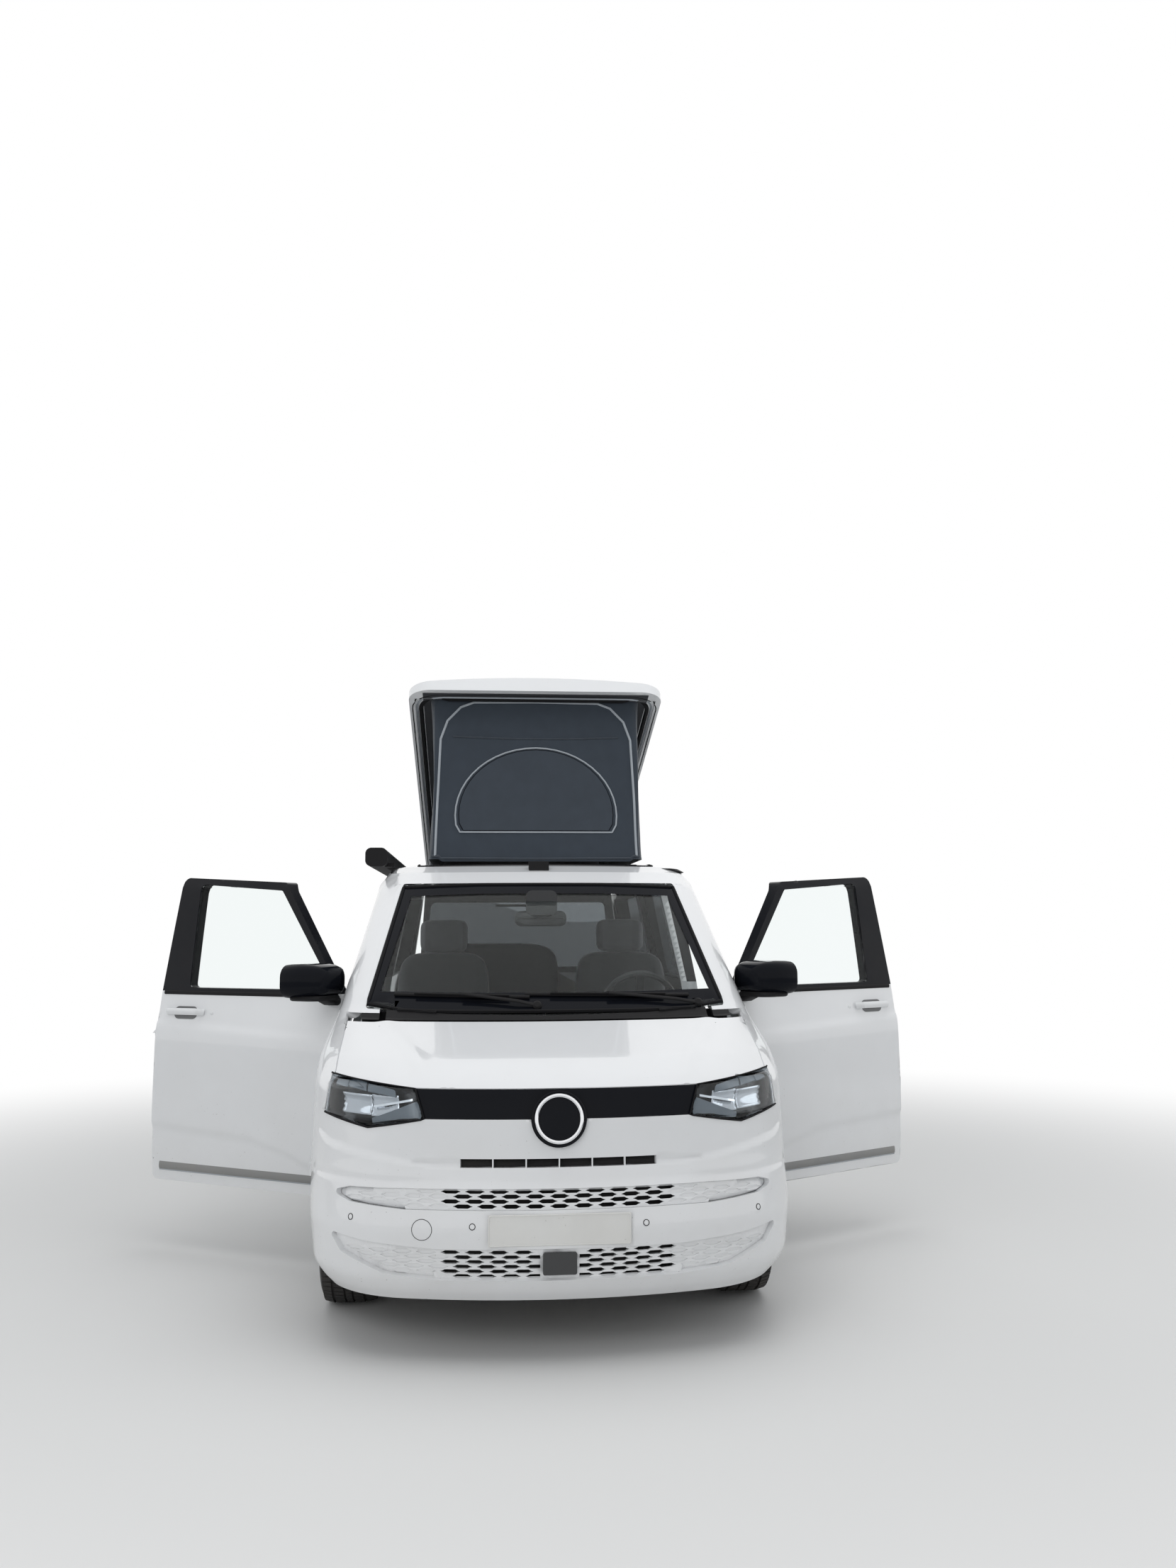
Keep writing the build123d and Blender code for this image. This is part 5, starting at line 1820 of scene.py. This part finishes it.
    def _window(self, share: float) -> list[Flat]:
        """Outline of the D-shaped window flap, as a share of its full size."""
        turns = (math.pi * i / 24 for i in range(25))
        arc = [(0.425 * math.cos(turn), 2.15 + 0.365 * math.sin(turn)) for turn in turns]
        outline = [(-0.40, 2.062), (0.40, 2.062), (0.421, 2.10), *arc, (-0.421, 2.10)]
        return [(x * share, self.flap_middle + (z - self.flap_middle) * share) for x, z in outline]

    def _flap(self) -> Object:
        """The window flap, a little in front of the cloth."""
        mesh = bmesh.new()
        outline = divided(self._window(1.0), 0.02, True)
        middle = self.flap_middle
        rings = []
        for share in (i / 9 * self.zip_share for i in range(1, 10)):
            spots = [self._on_front(x * share, middle + (z - middle) * share, 0.004) for x, z in outline]
            rings.append([mesh.verts.new(spot) for spot in spots])
        hub = mesh.verts.new(self._on_front(0.0, middle, 0.004))
        count = len(outline)
        for k in range(count):
            mesh.faces.new((hub, rings[0][k], rings[0][(k + 1) % count]))
        for inner, outer in zip(rings, rings[1:]):
            for k in range(count):
                j = (k + 1) % count
                mesh.faces.new((inner[k], outer[k], outer[j], inner[j]))
        return mesh_piece("canvas_window_flap", mesh, CANVAS_FLAP, "body")

    def _underside(self) -> None:
        """Dark liner, black rim and pale seal under the lid."""
        below = Probe(skin_tree(self.nodes["roof_lid"]), Vector((0, 0, 1)))
        mesh = bmesh.new()
        backs = spaced(1.86, 2.60, 40)
        add_grid(mesh, [[below.at(x, back, 0.003) for back in backs] for x in spaced(-0.60, 1.20, 24)])
        mesh_piece("lid_liner", mesh, LID_INSIDE, "roof_lid")
        width, length, middle, rear, shrink = 1.352, 2.90, 3.18, 4.655, 0.953
        for name, inset, radius, finish in (
            ("lid_rim", 0.016, 0.003, RUBBER_SEAL),
            ("lid_inner_rim", 0.060, 0.012, RUBBER_SEAL),
            ("lid_seal", 0.040, 0.006, PIPING),
        ):
            ring = rounded_ring(width - 2 * inset, length - 2 * inset, 0.15, 8)
            outline = [(x, rear - (rear - middle - y) * shrink) for x, y in ring]
            spots = [below.at(x, back, 0.0005) for x, back in divided(outline, 0.03, True)]
            mesh = bmesh.new()
            draped_tube(mesh, spots, radius, closed=True)
            mesh_piece(name, mesh, finish, "roof_lid")

    def _opening_seal(self) -> None:
        """The rubber edge of the opening below the lid."""
        above = Probe(skin_tree(self.nodes["roof_panel"]), Vector((0, 0, -1)))
        mesh = bmesh.new()
        outline = [(x, 3.20 + y) for x, y in rounded_ring(1.23, 2.78, 0.10, 6)]
        line = [above.at(x, back, 0.001) for x, back in divided(outline, 0.03, True)]
        draped_tube(mesh, line, 0.0045, closed=True)
        mesh_piece("roof_opening_seal", mesh, RUBBER_SEAL, "body")


@dataclass
class FrontDoors:
    """Handles, mirrors, seals and inner cards of the two front doors, which stand open."""

    nodes: Nodes

    def build(self) -> None:
        """Dress both doors."""
        for side, word in SIDES:
            turn = SWING.matrix(side)
            tree = skin_tree(bpy.data.objects[f"door_{word}_formed"], matrix=turn.inverted())
            outside = Probe(tree, Vector((-side, 0, 0)), side_start=side * BESIDE)
            inside = Probe(tree, Vector((side, 0, 0)))
            self._handle(side, word, outside, turn)
            self._mirror(side, word, turn)
            self._lines(side, word, outside, turn)
            self._card(side, word, inside, turn)

    @staticmethod
    def _place(name: str, mesh: Mesh, finish: Finish, word: str, turn: Matrix, slot: str) -> Object:
        """Turn a piece from the shut door to the open one and let it ride there.

        Args:
            name: The piece's name, without its side.
            mesh: The geometry on the shut door.
            finish: Its surface finish.
            word: Left or right.
            turn: The turn from shut to open.
            slot: The record's material slot.

        Returns:
            slot: Not used.
        """
        bmesh.ops.transform(mesh, matrix=turn, verts=mesh.verts)
        return mesh_piece(f"{name}_{word}", mesh, finish, f"door_{word}")

    def _handle(self, side: int, word: str, outside: Probe, turn: Matrix) -> None:
        """A pull bar over a flat grey disc, painted shade for the shallow recess behind it."""
        grip, bowl = bmesh.new(), bmesh.new()
        pull_bar(grip, outside, 2.165, side)
        # The grey disc is painted shade: a flat face 1.2 mm off the skin, darker than the paint where the
        # hollow behind the bar falls in shadow.
        ring = [outside.at(2.285 + x, 1.150 + z, 0.0012) for x, z in rounded_ring(0.150, 0.062, 0.030, 8)]
        bowl.faces.new([bowl.verts.new(spot) for spot in ring])
        self._place("door_handle", grip, DOOR_PAINT, word, turn, "white_paint")
        self._place("door_handle_shade_disc", bowl, TRIM_GREY, word, turn, "white_paint")

    def _mirror(self, side: int, word: str, turn: Matrix) -> None:
        """Rounded cap, foot and glass of the outside mirror."""
        cap = bmesh.new()
        rings = []
        for share, grow in (
            (0.0, 0.34), (0.04, 0.60), (0.12, 0.78), (0.28, 0.92), (0.55, 1.0), (0.85, 0.99), (1.0, 0.95),
        ):
            rings.append([
                place(side * (1.105 + x * grow - 0.02 * (1 - share)), 1.270 + 0.205 * share, 1.325 + z * grow)
                for x, z in rounded_ring(0.262, 0.158, 0.058, 8)
            ])
        add_loft(cap, rings)
        foot = bmesh.new()
        add_loft(foot, [
            [place(side * x, 1.405 + y, 1.222 + dz + z) for y, z in rounded_ring(0.085, 0.040, 0.018, 5)]
            for x, dz in ((0.915, 0.0), (0.955, 0.004), (1.00, 0.022), (1.04, 0.052))
        ])
        lip = bmesh.new()
        lip_ring = rounded_ring(0.235, 0.165, 0.060, 6)
        add_loft(lip, [
            [place(side * (1.100 + x * grow), 1.375 + y, z - 0.012) for x, y in lip_ring]
            for z, grow in ((1.272, 0.86), (1.262, 0.99), (1.254, 0.97), (1.249, 0.86))
        ])
        glass = bmesh.new()
        face = [place(side * (1.105 + x), 1.4765, 1.325 + z) for x, z in rounded_ring(0.222, 0.126, 0.045, 8)]
        glass.faces.new([glass.verts.new(spot) for spot in face])
        shell = self._place("mirror_cap", cap, BLACK_GLOSS, word, turn, "black_gloss")
        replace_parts(shell, f"door_mirror_{word}")
        self._place("mirror_foot", foot, MATT_BLACK, word, turn, "black_gloss")
        self._place("mirror_lip", lip, MATT_BLACK, word, turn, "black_gloss")
        self._place("mirror_glass", glass, REFLECTOR, word, turn, "black_gloss")

    def _lines(self, side: int, word: str, outside: Probe, turn: Matrix) -> None:
        """Belt seal, the grey sill strip with its pale line, and the lock."""
        up = Vector((side, 0, 0))
        belt = divided([(1.50, 1.2455), (1.80, 1.2465), (2.44, 1.2475)], 0.04)
        sill = divided([(1.46, 0.402), (2.42, 0.402)], 0.04)
        edge = [(back, 0.381) for back, _ in sill]
        for name, points, radius, flat, finish, slot in (
            ("belt_seal", belt, 0.010, 0.5, MATT_BLACK, "black_gloss"),
            ("sill_strip", sill, 0.019, 0.25, SILL_GREY, "white_paint"),
            ("sill_line", edge, 0.0035, 0.8, LIGHT_BAR, "white_paint"),
        ):
            mesh = bmesh.new()
            add_tube(mesh, [outside.at(*point, 0.001) for point in points], radius, flat=flat, up=up)
            self._place(name, mesh, finish, word, turn, slot)
        barrel = bmesh.new()
        profile = ((-0.003, 0.0085), (0.002, 0.0085), (0.003, 0.006), (0.003, 0))
        add_round(barrel, outside.at(2.12, 1.150), up, profile, 24)
        self._place("door_lock", barrel, DOOR_PAINT, word, turn, "white_paint")

    def _card(self, side: int, word: str, inside: Probe, turn: Matrix) -> None:
        """Inner trim with an armrest."""
        card = bmesh.new()
        inward = Vector((side * 0.010, 0, 0))
        heights = spaced(0.44, 0.73, 16)
        lines = [[inside.at(back, height) - inward for height in heights] for back in spaced(1.47, 0.91, 22)]
        add_grid(card, lines)
        self._place("door_card", card, CAB_PLASTIC, word, turn, "cab_plastic")
        rest = bmesh.new()
        mid = inside.at(1.95, 0.95).x
        add_loft(rest, [
            [place(mid - side * (0.028 + y), back, 0.955 + z) for y, z in rounded_ring(0.056, h, 0.018, 5)]
            for back, h in ((1.62, 0.04), (1.66, 0.062), (1.95, 0.078), (2.20, 0.070), (2.26, 0.042))
        ])
        self._place("door_armrest", rest, TRIM_GREY, word, turn, "cab_plastic")


@dataclass
class Cabin:
    """Seats, screens, mirror, glass borders and wipers that show through the glass."""

    nodes: Nodes
    seat_x: float = 0.49
    squareness: float = 5.0

    def build(self) -> None:
        """Make the cabin."""
        for side, word in SIDES:
            self._seat(side * self.seat_x, word)
        self._bench()
        self._dashboard()
        self._screen_trim()
        self._wipers()

    def _cushion(
        self, name: str, low: Sequence[float], high: Sequence[float], finish: Finish, lean: float = 0.0
    ) -> Object:
        """Make a crowned cushion with sewn channels and side bolsters.

        Args:
            name: The piece's name.
            low: Its lower front right corner, as x, way back and height.
            high: Its upper rear left corner.
            finish: Its cloth.
            lean: How far its top leans back from its middle.

        Returns:
            The cushion.
        """
        low, high = place(*low), place(*high)
        mesh = bmesh.new()
        bmesh.ops.create_cube(mesh, size=2.0)
        bmesh.ops.subdivide_edges(mesh, edges=mesh.edges, cuts=13, use_grid_fill=True)
        middle = Vector((a + b) / 2 for a, b in zip(low, high))
        half = Vector((b - a) / 2 for a, b in zip(low, high))
        thin = min(range(3), key=lambda i: half[i])
        wide = [i for i in range(3) if i != thin]
        for vert in mesh.verts:
            unit = vert.co.copy()
            size = sum(abs(c) ** self.squareness for c in unit) ** (1 / self.squareness)
            round_unit = unit / size
            spot = Vector(round_unit[i] * half[i] for i in range(3))
            u, v = round_unit[wide[0]], round_unit[wide[1]]
            crown = 0.16 * (1 - u * u) * (1 - v * v)
            bolster = 0.22 * smoothstep(0.50, 0.80, abs(u)) * (1 - smoothstep(0.80, 1.0, abs(u)))
            channel = -0.10 * math.exp(-((abs(u) - 0.50) / 0.030) ** 2)
            channel -= 0.06 * math.exp(-((abs(v) - 0.45) / 0.028) ** 2)
            spot[thin] *= 0.86 + crown + bolster + channel
            spot += Vector((0, lean * (spot.z / max(half.z, 1e-6)), 0))
            vert.co = middle + spot
        piece = mesh_piece(name, mesh, finish, "body")
        return piece

    def _seat(self, x: float, word: str) -> None:
        """One front seat."""
        pieces = [
            self._cushion(f"seat_{part}_{word}", (x - half, *low), (x + half, *high), finish, lean)
            for part, half, low, high, finish, lean in (
                ("cushion", 0.255, (1.80, 0.71), (2.36, 0.895), SEAT_CLOTH, 0.0),
                ("back", 0.25, (2.27, 0.80), (2.43, 1.43), SEAT_CLOTH, 0.02),
                ("head", 0.13, (2.31, 1.43), (2.43, 1.61), SEAT_SIDE, 0.0),
            )
        ]
        frame = bmesh.new()
        add_box(frame, place(x - 0.22, 1.90, 0.50), place(x + 0.22, 2.30, 0.735))
        for shift in (-0.055, 0.055):
            add_tube(frame, [place(x + shift, 2.375, 1.38), place(x + shift, 2.378, 1.50)], 0.007)
        base = mesh_piece(f"seat_base_{word}", frame, CAB_PLASTIC, "body", 0.012)
        for piece in (*pieces, base):
            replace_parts(piece, "front_seats")

    def _bench(self) -> None:
        """The bench behind, in two sewn cushions."""
        for name, low, high in (
            ("bench_cushion", (-0.64, 3.48, 0.70), (0.25, 4.10, 0.91)),
            ("bench_back", (-0.64, 3.99, 0.86), (0.25, 4.16, 1.46)),
        ):
            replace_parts(self._cushion(name, low, high, SEAT_CLOTH), "rear_bench")
        base = bmesh.new()
        add_box(base, place(-0.62, 3.52, 0.50), place(0.23, 4.08, 0.73))
        mesh_piece("bench_base", base, CABINET, "body", 0.008)

    def _dashboard(self) -> None:
        """Two dark screens and a vent on the dashboard."""
        screens = bmesh.new()
        add_box(screens, place(-0.15, 1.440, 1.085), place(0.17, 1.455, 1.225))
        add_box(screens, place(0.36, 1.420, 1.150), place(0.62, 1.435, 1.245))
        mesh_piece("dashboard_screens", screens, SCREEN, "body", 0.004)
        hub = bmesh.new()
        add_tube(hub, [place(-0.62, 1.449, 1.06), place(-0.20, 1.449, 1.06)], 0.012, sides=10, flat=0.6)
        mesh_piece("dashboard_vent", hub, TRIM_GREY, "body")

    def _screen_trim(self) -> None:
        """Black border of the windscreen, its inner mirror with the camera cover, and the side rubbers."""
        glass = self.nodes["windscreen"]
        front = Probe(skin_tree(glass), Vector((0, 1, 0)))
        heights = sorted(vert.co.z for vert in glass.data.vertices)
        low, high = heights[0] + 0.012, heights[-1] - 0.010
        base_x, top_x = 0.775, 0.662
        flat = divided([
            (-base_x, low + 0.01), (-0.4, low + 0.003), (0.4, low + 0.003), (base_x, low + 0.01),
            (top_x, high - 0.012), (0.3, high), (-0.3, high), (-top_x, high - 0.012),
        ], 0.02, True)
        middle_z = (low + high) / 2
        border = bmesh.new()
        rings = []
        for inset in (0.0, 0.5, 1.0):
            ring = []
            for x, z in flat:
                lower = 0.075 if z < low + 0.03 else 0.045
                shrink_z = middle_z + (z - middle_z) * (1 - lower / (high - low) * 2 * inset)
                ring.append(front.at(x * (1 - 0.055 * inset), shrink_z, 0.0012))
            rings.append(ring)
        add_grid(border, rings, closed=True)
        mesh_piece("windscreen_border", border, BLACK_GLOSS, "body")
        seal = bmesh.new()
        draped_tube(seal, [front.at(x * 1.006, z, 0.002) for x, z in flat], 0.009, closed=True)
        mesh_piece("windscreen_seal", seal, RUBBER_SEAL, "body")
        housing = bmesh.new()
        top = front.at(0, high - 0.09)
        add_loft(housing, [
            [top + Vector((x, 0.012 + depth, z - 0.5 * depth)) for x, z in rounded_ring(width, tall, 0.03, 5)]
            for depth, width, tall in ((0.0, 0.15, 0.12), (0.03, 0.13, 0.10), (0.07, 0.08, 0.06))
        ])
        add_loft(housing, [
            [top + Vector((x, 0.09 + depth, z - 0.075)) for x, z in rounded_ring(width, tall, 0.03, 6)]
            for depth, width, tall in ((0.0, 0.21, 0.058), (0.012, 0.25, 0.074), (0.034, 0.25, 0.074))
        ])
        mesh_piece("inner_mirror", housing, CAB_PLASTIC, "body")

    def _wipers(self) -> None:
        """Both front wipers, each an arm on its pivot with a slim blade."""
        front = Probe(skin_tree(self.nodes["windscreen"]), Vector((0, 1, 0)))
        mesh = bmesh.new()
        for pivot, first, second in ((0.66, 0.62, -0.10), (-0.05, -0.08, -0.66)):
            base = front.at(pivot, 1.236)
            blade = [
                front.at(first + (second - first) * k / 20, 1.262 + 0.012 * k / 20, 0.009) for k in range(21)
            ]
            add_tube(mesh, blade, 0.0085, flat=0.8)
            add_tube(mesh, [spot + Vector((0, -0.012, 0.006)) for spot in blade[3:18]], 0.005, sides=6)
            add_tube(mesh, [
                base + Vector((0, -0.016, 0.0)),
                base.lerp(blade[6], 0.4) + Vector((0, -0.026, 0.004)),
                blade[10] + Vector((0, -0.022, 0.010)),
            ], 0.009, flat=0.6)
            knob = ((0, 0.02), (0.016, 0.019), (0.022, 0.012), (0.023, 0))
            add_round(mesh, base + Vector((0, -0.004, -0.004)), Vector((0, -1, 0.5)), knob, 20)
        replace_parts(mesh_piece("screen_wipers", mesh, MATT_BLACK, "body"), "wipers")


@dataclass
class Wheels:
    """Four tyres with tread, ten-spoke rims, brake discs and callipers."""

    nodes: Nodes
    spokes: int = 5
    tread_steps: int = 72
    bead: float = 0.218
    spoke_section: Line = ((-0.5, 0.16), (-0.36, 0.0), (0.36, 0.0), (0.5, 0.16), (0.42, 1.0), (-0.42, 1.0))

    def build(self) -> None:
        """Dress each corner."""
        for end in ("front", "rear"):
            for side, word in SIDES:
                spin = f"wheel_{end}_{word}"
                still = f"knuckle_{word}" if end == "front" else "body"
                tyre = self.nodes[f"tyre_{end}_{word}"]
                corners = [tyre.matrix_world @ vert.co for vert in tyre.data.vertices]
                low = Vector(min(c[i] for c in corners) for i in range(3))
                high = Vector(max(c[i] for c in corners) for i in range(3))
                centre, width, radius = (low + high) / 2, high.x - low.x, (high.z - low.z) / 2
                axis = Vector((side, 0, 0))
                self._tyre(f"{end}_{word}", centre, axis, width, radius, spin)
                self._rim(f"{end}_{word}", centre, axis, width, spin)
                self._brake(f"{end}_{word}", centre, axis, width, spin, still)

    def _tyre(self, word: str, centre: Vector, axis: Vector, width: float, radius: float, body: str) -> None:
        """Side walls and a tread of blocks cut by four grooves."""
        mesh = bmesh.new()
        half = width / 2
        wall = [
            (-half + 0.020, self.bead), (-half + 0.006, self.bead + 0.016),
            (-half + 0.001, self.bead + 0.045),
            (-half + 0.003, radius - 0.040), (-half + 0.012, radius - 0.018), (-half + 0.024, radius - 0.010),
        ]
        profile = wall + [(-x, r) for x, r in reversed(wall)]
        add_round(mesh, centre, axis, [*profile, (0.0, self.bead - 0.01), profile[0]], 96)
        turn = axis.to_track_quat("Z", "X").to_matrix()
        columns = [
            (-half + 0.014, -half + 0.050), (-half + 0.060, -0.020), (-0.012, 0.012),
            (0.020, half - 0.060), (half - 0.050, half - 0.014),
        ]
        step = 2 * math.pi / self.tread_steps
        for index, (first, second) in enumerate(columns):
            offset = step * 0.35 * index
            for k in range(self.tread_steps):
                angle = step * k + offset
                rings = []
                for share, slant in ((0.0, 0.0), (1.0, 0.22 if index % 2 else -0.22)):
                    x = first + (second - first) * share
                    drop = 0.009 if (index == 0 and share == 0) or (index == 4 and share == 1) else 0.0
                    foot, top = radius - 0.012, radius - 0.0008 - drop
                    ring = []
                    for a, r in ((-0.40, foot), (0.40, foot), (0.38, top), (-0.38, top)):
                        turned = angle + (a + slant) * step
                        ring.append(centre + turn @ Vector((r * math.cos(turned), r * math.sin(turned), x)))
                    rings.append(ring)
                add_loft(mesh, rings)
        tyre = mesh_piece(f"tyre_tread_{word}", mesh, TYRE_RUBBER, body)
        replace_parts(tyre, f"tyre_{word}")

    def _rim(self, word: str, centre: Vector, axis: Vector, width: float, body: str) -> None:
        """Barrel, paired spokes, hub cap and wheel bolts."""
        mesh = bmesh.new()
        half = width / 2
        face = half - 0.030
        lip = [
            (half - 0.010, 0.229), (half - 0.006, 0.224), (half - 0.010, 0.214), (half - 0.040, 0.206),
            (0.0, 0.196), (-half + 0.02, 0.206), (-half + 0.012, 0.226),
        ]
        barrel = [*lip, (-half + 0.018, 0.230), (-0.02, 0.208), (half - 0.03, 0.222), lip[0]]
        add_round(mesh, centre, axis, barrel, 96)
        hub = (
            (face - 0.045, 0.0), (face - 0.045, 0.085), (face - 0.012, 0.080), (face, 0.066),
            (face + 0.002, 0.034), (face + 0.002, 0.0),
        )
        add_round(mesh, centre, axis, hub, 64)
        turn = axis.to_track_quat("Z", "X").to_matrix()
        for k in range(self.spokes):
            for lean in (-1, 1):
                angle = 2 * math.pi * k / self.spokes + math.pi / 2 + lean * 0.17
                rings = []
                for radius, wide, front, deep, twist in (
                    (0.055, 0.038, face - 0.004, 0.038, 0.0), (0.11, 0.030, face - 0.001, 0.030, 0.02),
                    (0.17, 0.026, face + 0.006, 0.024, 0.05), (0.212, 0.034, face + 0.010, 0.030, 0.08),
                ):
                    a = angle + lean * twist
                    out = Vector((math.cos(a), math.sin(a), 0)) * radius
                    across = Vector((-math.sin(a), math.cos(a), 0))
                    rings.append([
                        centre + turn @ (out + across * (wide * s) + Vector((0, 0, front - deep * d)))
                        for s, d in self.spoke_section
                    ])
                add_loft(mesh, rings)
        rim = mesh_piece(f"rim_spokes_{word}", mesh, RIM_PAINT, body, 0.0015)
        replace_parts(rim, f"rim_{word}")
        small = bmesh.new()
        cap = ((face, 0.031), (face + 0.006, 0.030), (face + 0.008, 0.024), (face + 0.008, 0.0))
        add_round(small, centre, axis, cap, 40)
        for k in range(self.spokes):
            angle = 2 * math.pi * (k + 0.5) / self.spokes + math.pi / 2
            spot = centre + turn @ Vector((0.056 * math.cos(angle), 0.056 * math.sin(angle), face - 0.004))
            add_round(small, spot, axis, ((0, 0.0105), (0.010, 0.0105), (0.013, 0.008), (0.013, 0.0)), 6)
        mesh_piece(f"hub_cap_{word}", small, UNDERBODY, body)

    def _brake(self, word: str, centre: Vector, axis: Vector, width: float, spin: str, still: str) -> None:
        """Vented disc behind the spokes, and the calliper that stays with the knuckle."""
        plane = width / 2 - 0.105
        disc = bmesh.new()
        add_round(disc, centre, axis, (
            (plane, 0.06), (plane, 0.158), (plane + 0.010, 0.158), (plane + 0.010, 0.09),
            (plane + 0.03, 0.085), (plane + 0.03, 0.0),
        ), 80)
        mesh_piece(f"brake_disc_{word}", disc, BRAKE_STEEL, spin)
        grip = bmesh.new()
        section = (
            (0.115, plane - 0.030), (0.178, plane - 0.030), (0.178, plane + 0.034), (0.115, plane + 0.034),
            (0.115, plane + 0.014), (0.164, plane + 0.014), (0.164, plane - 0.004), (0.115, plane - 0.004),
        )
        rings = []
        for k in range(9):
            turn = math.radians(-32 + 8 * k)
            away = Vector((0, math.cos(turn), math.sin(turn)))
            rings.append([centre + away * radius + axis * x for radius, x in section])
        add_loft(grip, rings)
        mesh_piece(f"calliper_{word}", grip, UNDERBODY, still, 0.003)


@dataclass
class SideTrim:
    """Sliding-door handles and rails, sill strips, roof ditches and the tail's fittings."""

    nodes: Nodes

    def build(self) -> None:
        """Dress the sides and the tail."""
        for side, word in SIDES:
            names = (f"{part}_{word}_formed" for part in ("body_side", "sliding_door", "wing"))
            panels = [bpy.data.objects[name] for name in names]
            beside = Probe(skin_tree(*panels), Vector((-side, 0, 0)), side_start=side * BESIDE)
            handle, black, strip, ditch = (bmesh.new() for _ in range(4))
            up = Vector((side, 0, 0))
            pull_bar(handle, beside, 2.56, side)
            rail = [beside.at(back, 1.150) for back in spaced(3.66, 4.98 - 3.66, 40)]
            add_tube(black, rail, 0.011, flat=0.18, up=up)
            sill = [back for back in spaced(1.38, 3.58 - 1.38, 60) if back > 2.50]
            add_tube(strip, [beside.at(back, 0.402, 0.001) for back in sill], 0.019, flat=0.25, up=up)
            mesh_piece(f"slider_handle_{word}", handle, DOOR_PAINT, "body")
            mesh_piece(f"slider_rail_{word}", black, RUBBER_SEAL, "body")
            mesh_piece(f"side_strip_{word}", strip, SILL_GREY, "body")
            above = Probe(skin_tree(self.nodes["roof_panel"]), Vector((0, 0, -1)))
            line = [above.at(side * 0.742, back, 0.001) for back in spaced(1.75, 3.0, 50)]
            add_tube(ditch, line, 0.008, flat=0.5, up=Vector((0, 0, 1)))
            mesh_piece(f"roof_ditch_{word}", ditch, RUBBER_SEAL, "body")
        self._tail()

    def _tail(self) -> None:
        """Handle, wiper and high brake lamp of the tail."""
        behind = Probe(skin_tree(bpy.data.objects["tailgate_formed"]), Vector((0, -1, 0)))
        glass = Probe(skin_tree(self.nodes["tailgate_glass"]), Vector((0, -1, 0)))

        black = bmesh.new()
        grip = [behind.at(x, 0.935, 0.012) for x in spaced(-0.13, 0.26, 16)]
        add_tube(black, grip, 0.017, sides=12, flat=0.6, up=Vector((0, 1, 0)))
        pivot = glass.at(0.0, 1.275, 0.010)
        knob = ((-0.01, 0.024), (0.016, 0.022), (0.020, 0.012), (0.020, 0.0))
        add_round(black, pivot, Vector((0, 1, 0.2)), knob, 24)
        blade = [glass.at(-0.02 - 0.40 * k / 16, 1.290 + 0.010 * k / 16, 0.014) for k in range(17)]
        add_tube(black, blade, 0.008)
        add_tube(black, [pivot + Vector((0, 0.014, 0)), blade[8] + Vector((0, 0.012, 0.004))], 0.008)
        mesh_piece("tail_wiper", black, MATT_BLACK, "tailgate")
        lamp = bmesh.new()
        line = [glass.at(x, 1.735, 0.010) for x in spaced(-0.17, 0.34, 12)]
        add_tube(lamp, line, 0.012, sides=10, flat=0.7)
        mesh_piece("high_brake_lamp", lamp, SMOKED_LENS, "tailgate")


NODE_FINISHES: tuple[tuple[Finish, str], ...] = (
    (BLACK_GLOSS, "front_strip door_mirror_left door_mirror_right"),
    (CLEAR_GLASS, "windscreen door_glass_left door_glass_right"),
    (PRIVACY_GLASS, "side_glass_left side_glass_right tailgate_glass"),
    (RED_LENS, "tail_lamps"),
    (FLOOR_BOARD, "floor_pan"),
    (MATT_BLACK, "front_cowl awning_case roof_fittings wipers"),
    (CAB_PLASTIC, "steering_wheel steering_column dashboard"),
    (SEAT_CLOTH, "front_seats rear_bench"),
    (CABINET, "camper_cabinet"),
    (CAST_METAL, "engine_block"),
    (UNDERBODY, "front_frame knuckle_left knuckle_right rear_axle"),
    (PLATE_WHITE, "plate_front plate_rear"),
    (LAMP_BOWL, "headlamp_left headlamp_right"),
    (WHITE_PAINT, "roof_lid"),
    (CANVAS, "roof_canvas"),
)


def dress_nodes(nodes: Nodes) -> None:
    """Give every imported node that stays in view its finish.

    Args:
        nodes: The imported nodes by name.
    """
    for finish, names in NODE_FINISHES:
        for name in names.split():
            paint(nodes[name], finish)


def main() -> None:
    """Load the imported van, dress it piece by piece and set up the studio."""
    logging.basicConfig(level=logging.INFO, format="%(name)s: %(message)s")
    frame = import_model()
    nodes = frame["nodes"]
    dress_nodes(nodes)
    for part in ASSEMBLIES:
        part(nodes).build()
        log.info("%s done", part.__name__)
    Studio().build()


ASSEMBLIES = (PaintedShell, NoseTrim, Headlamps, Grilles, PopUpRoof, FrontDoors, Cabin, Wheels, SideTrim)


if __name__ == "__main__":
    main()
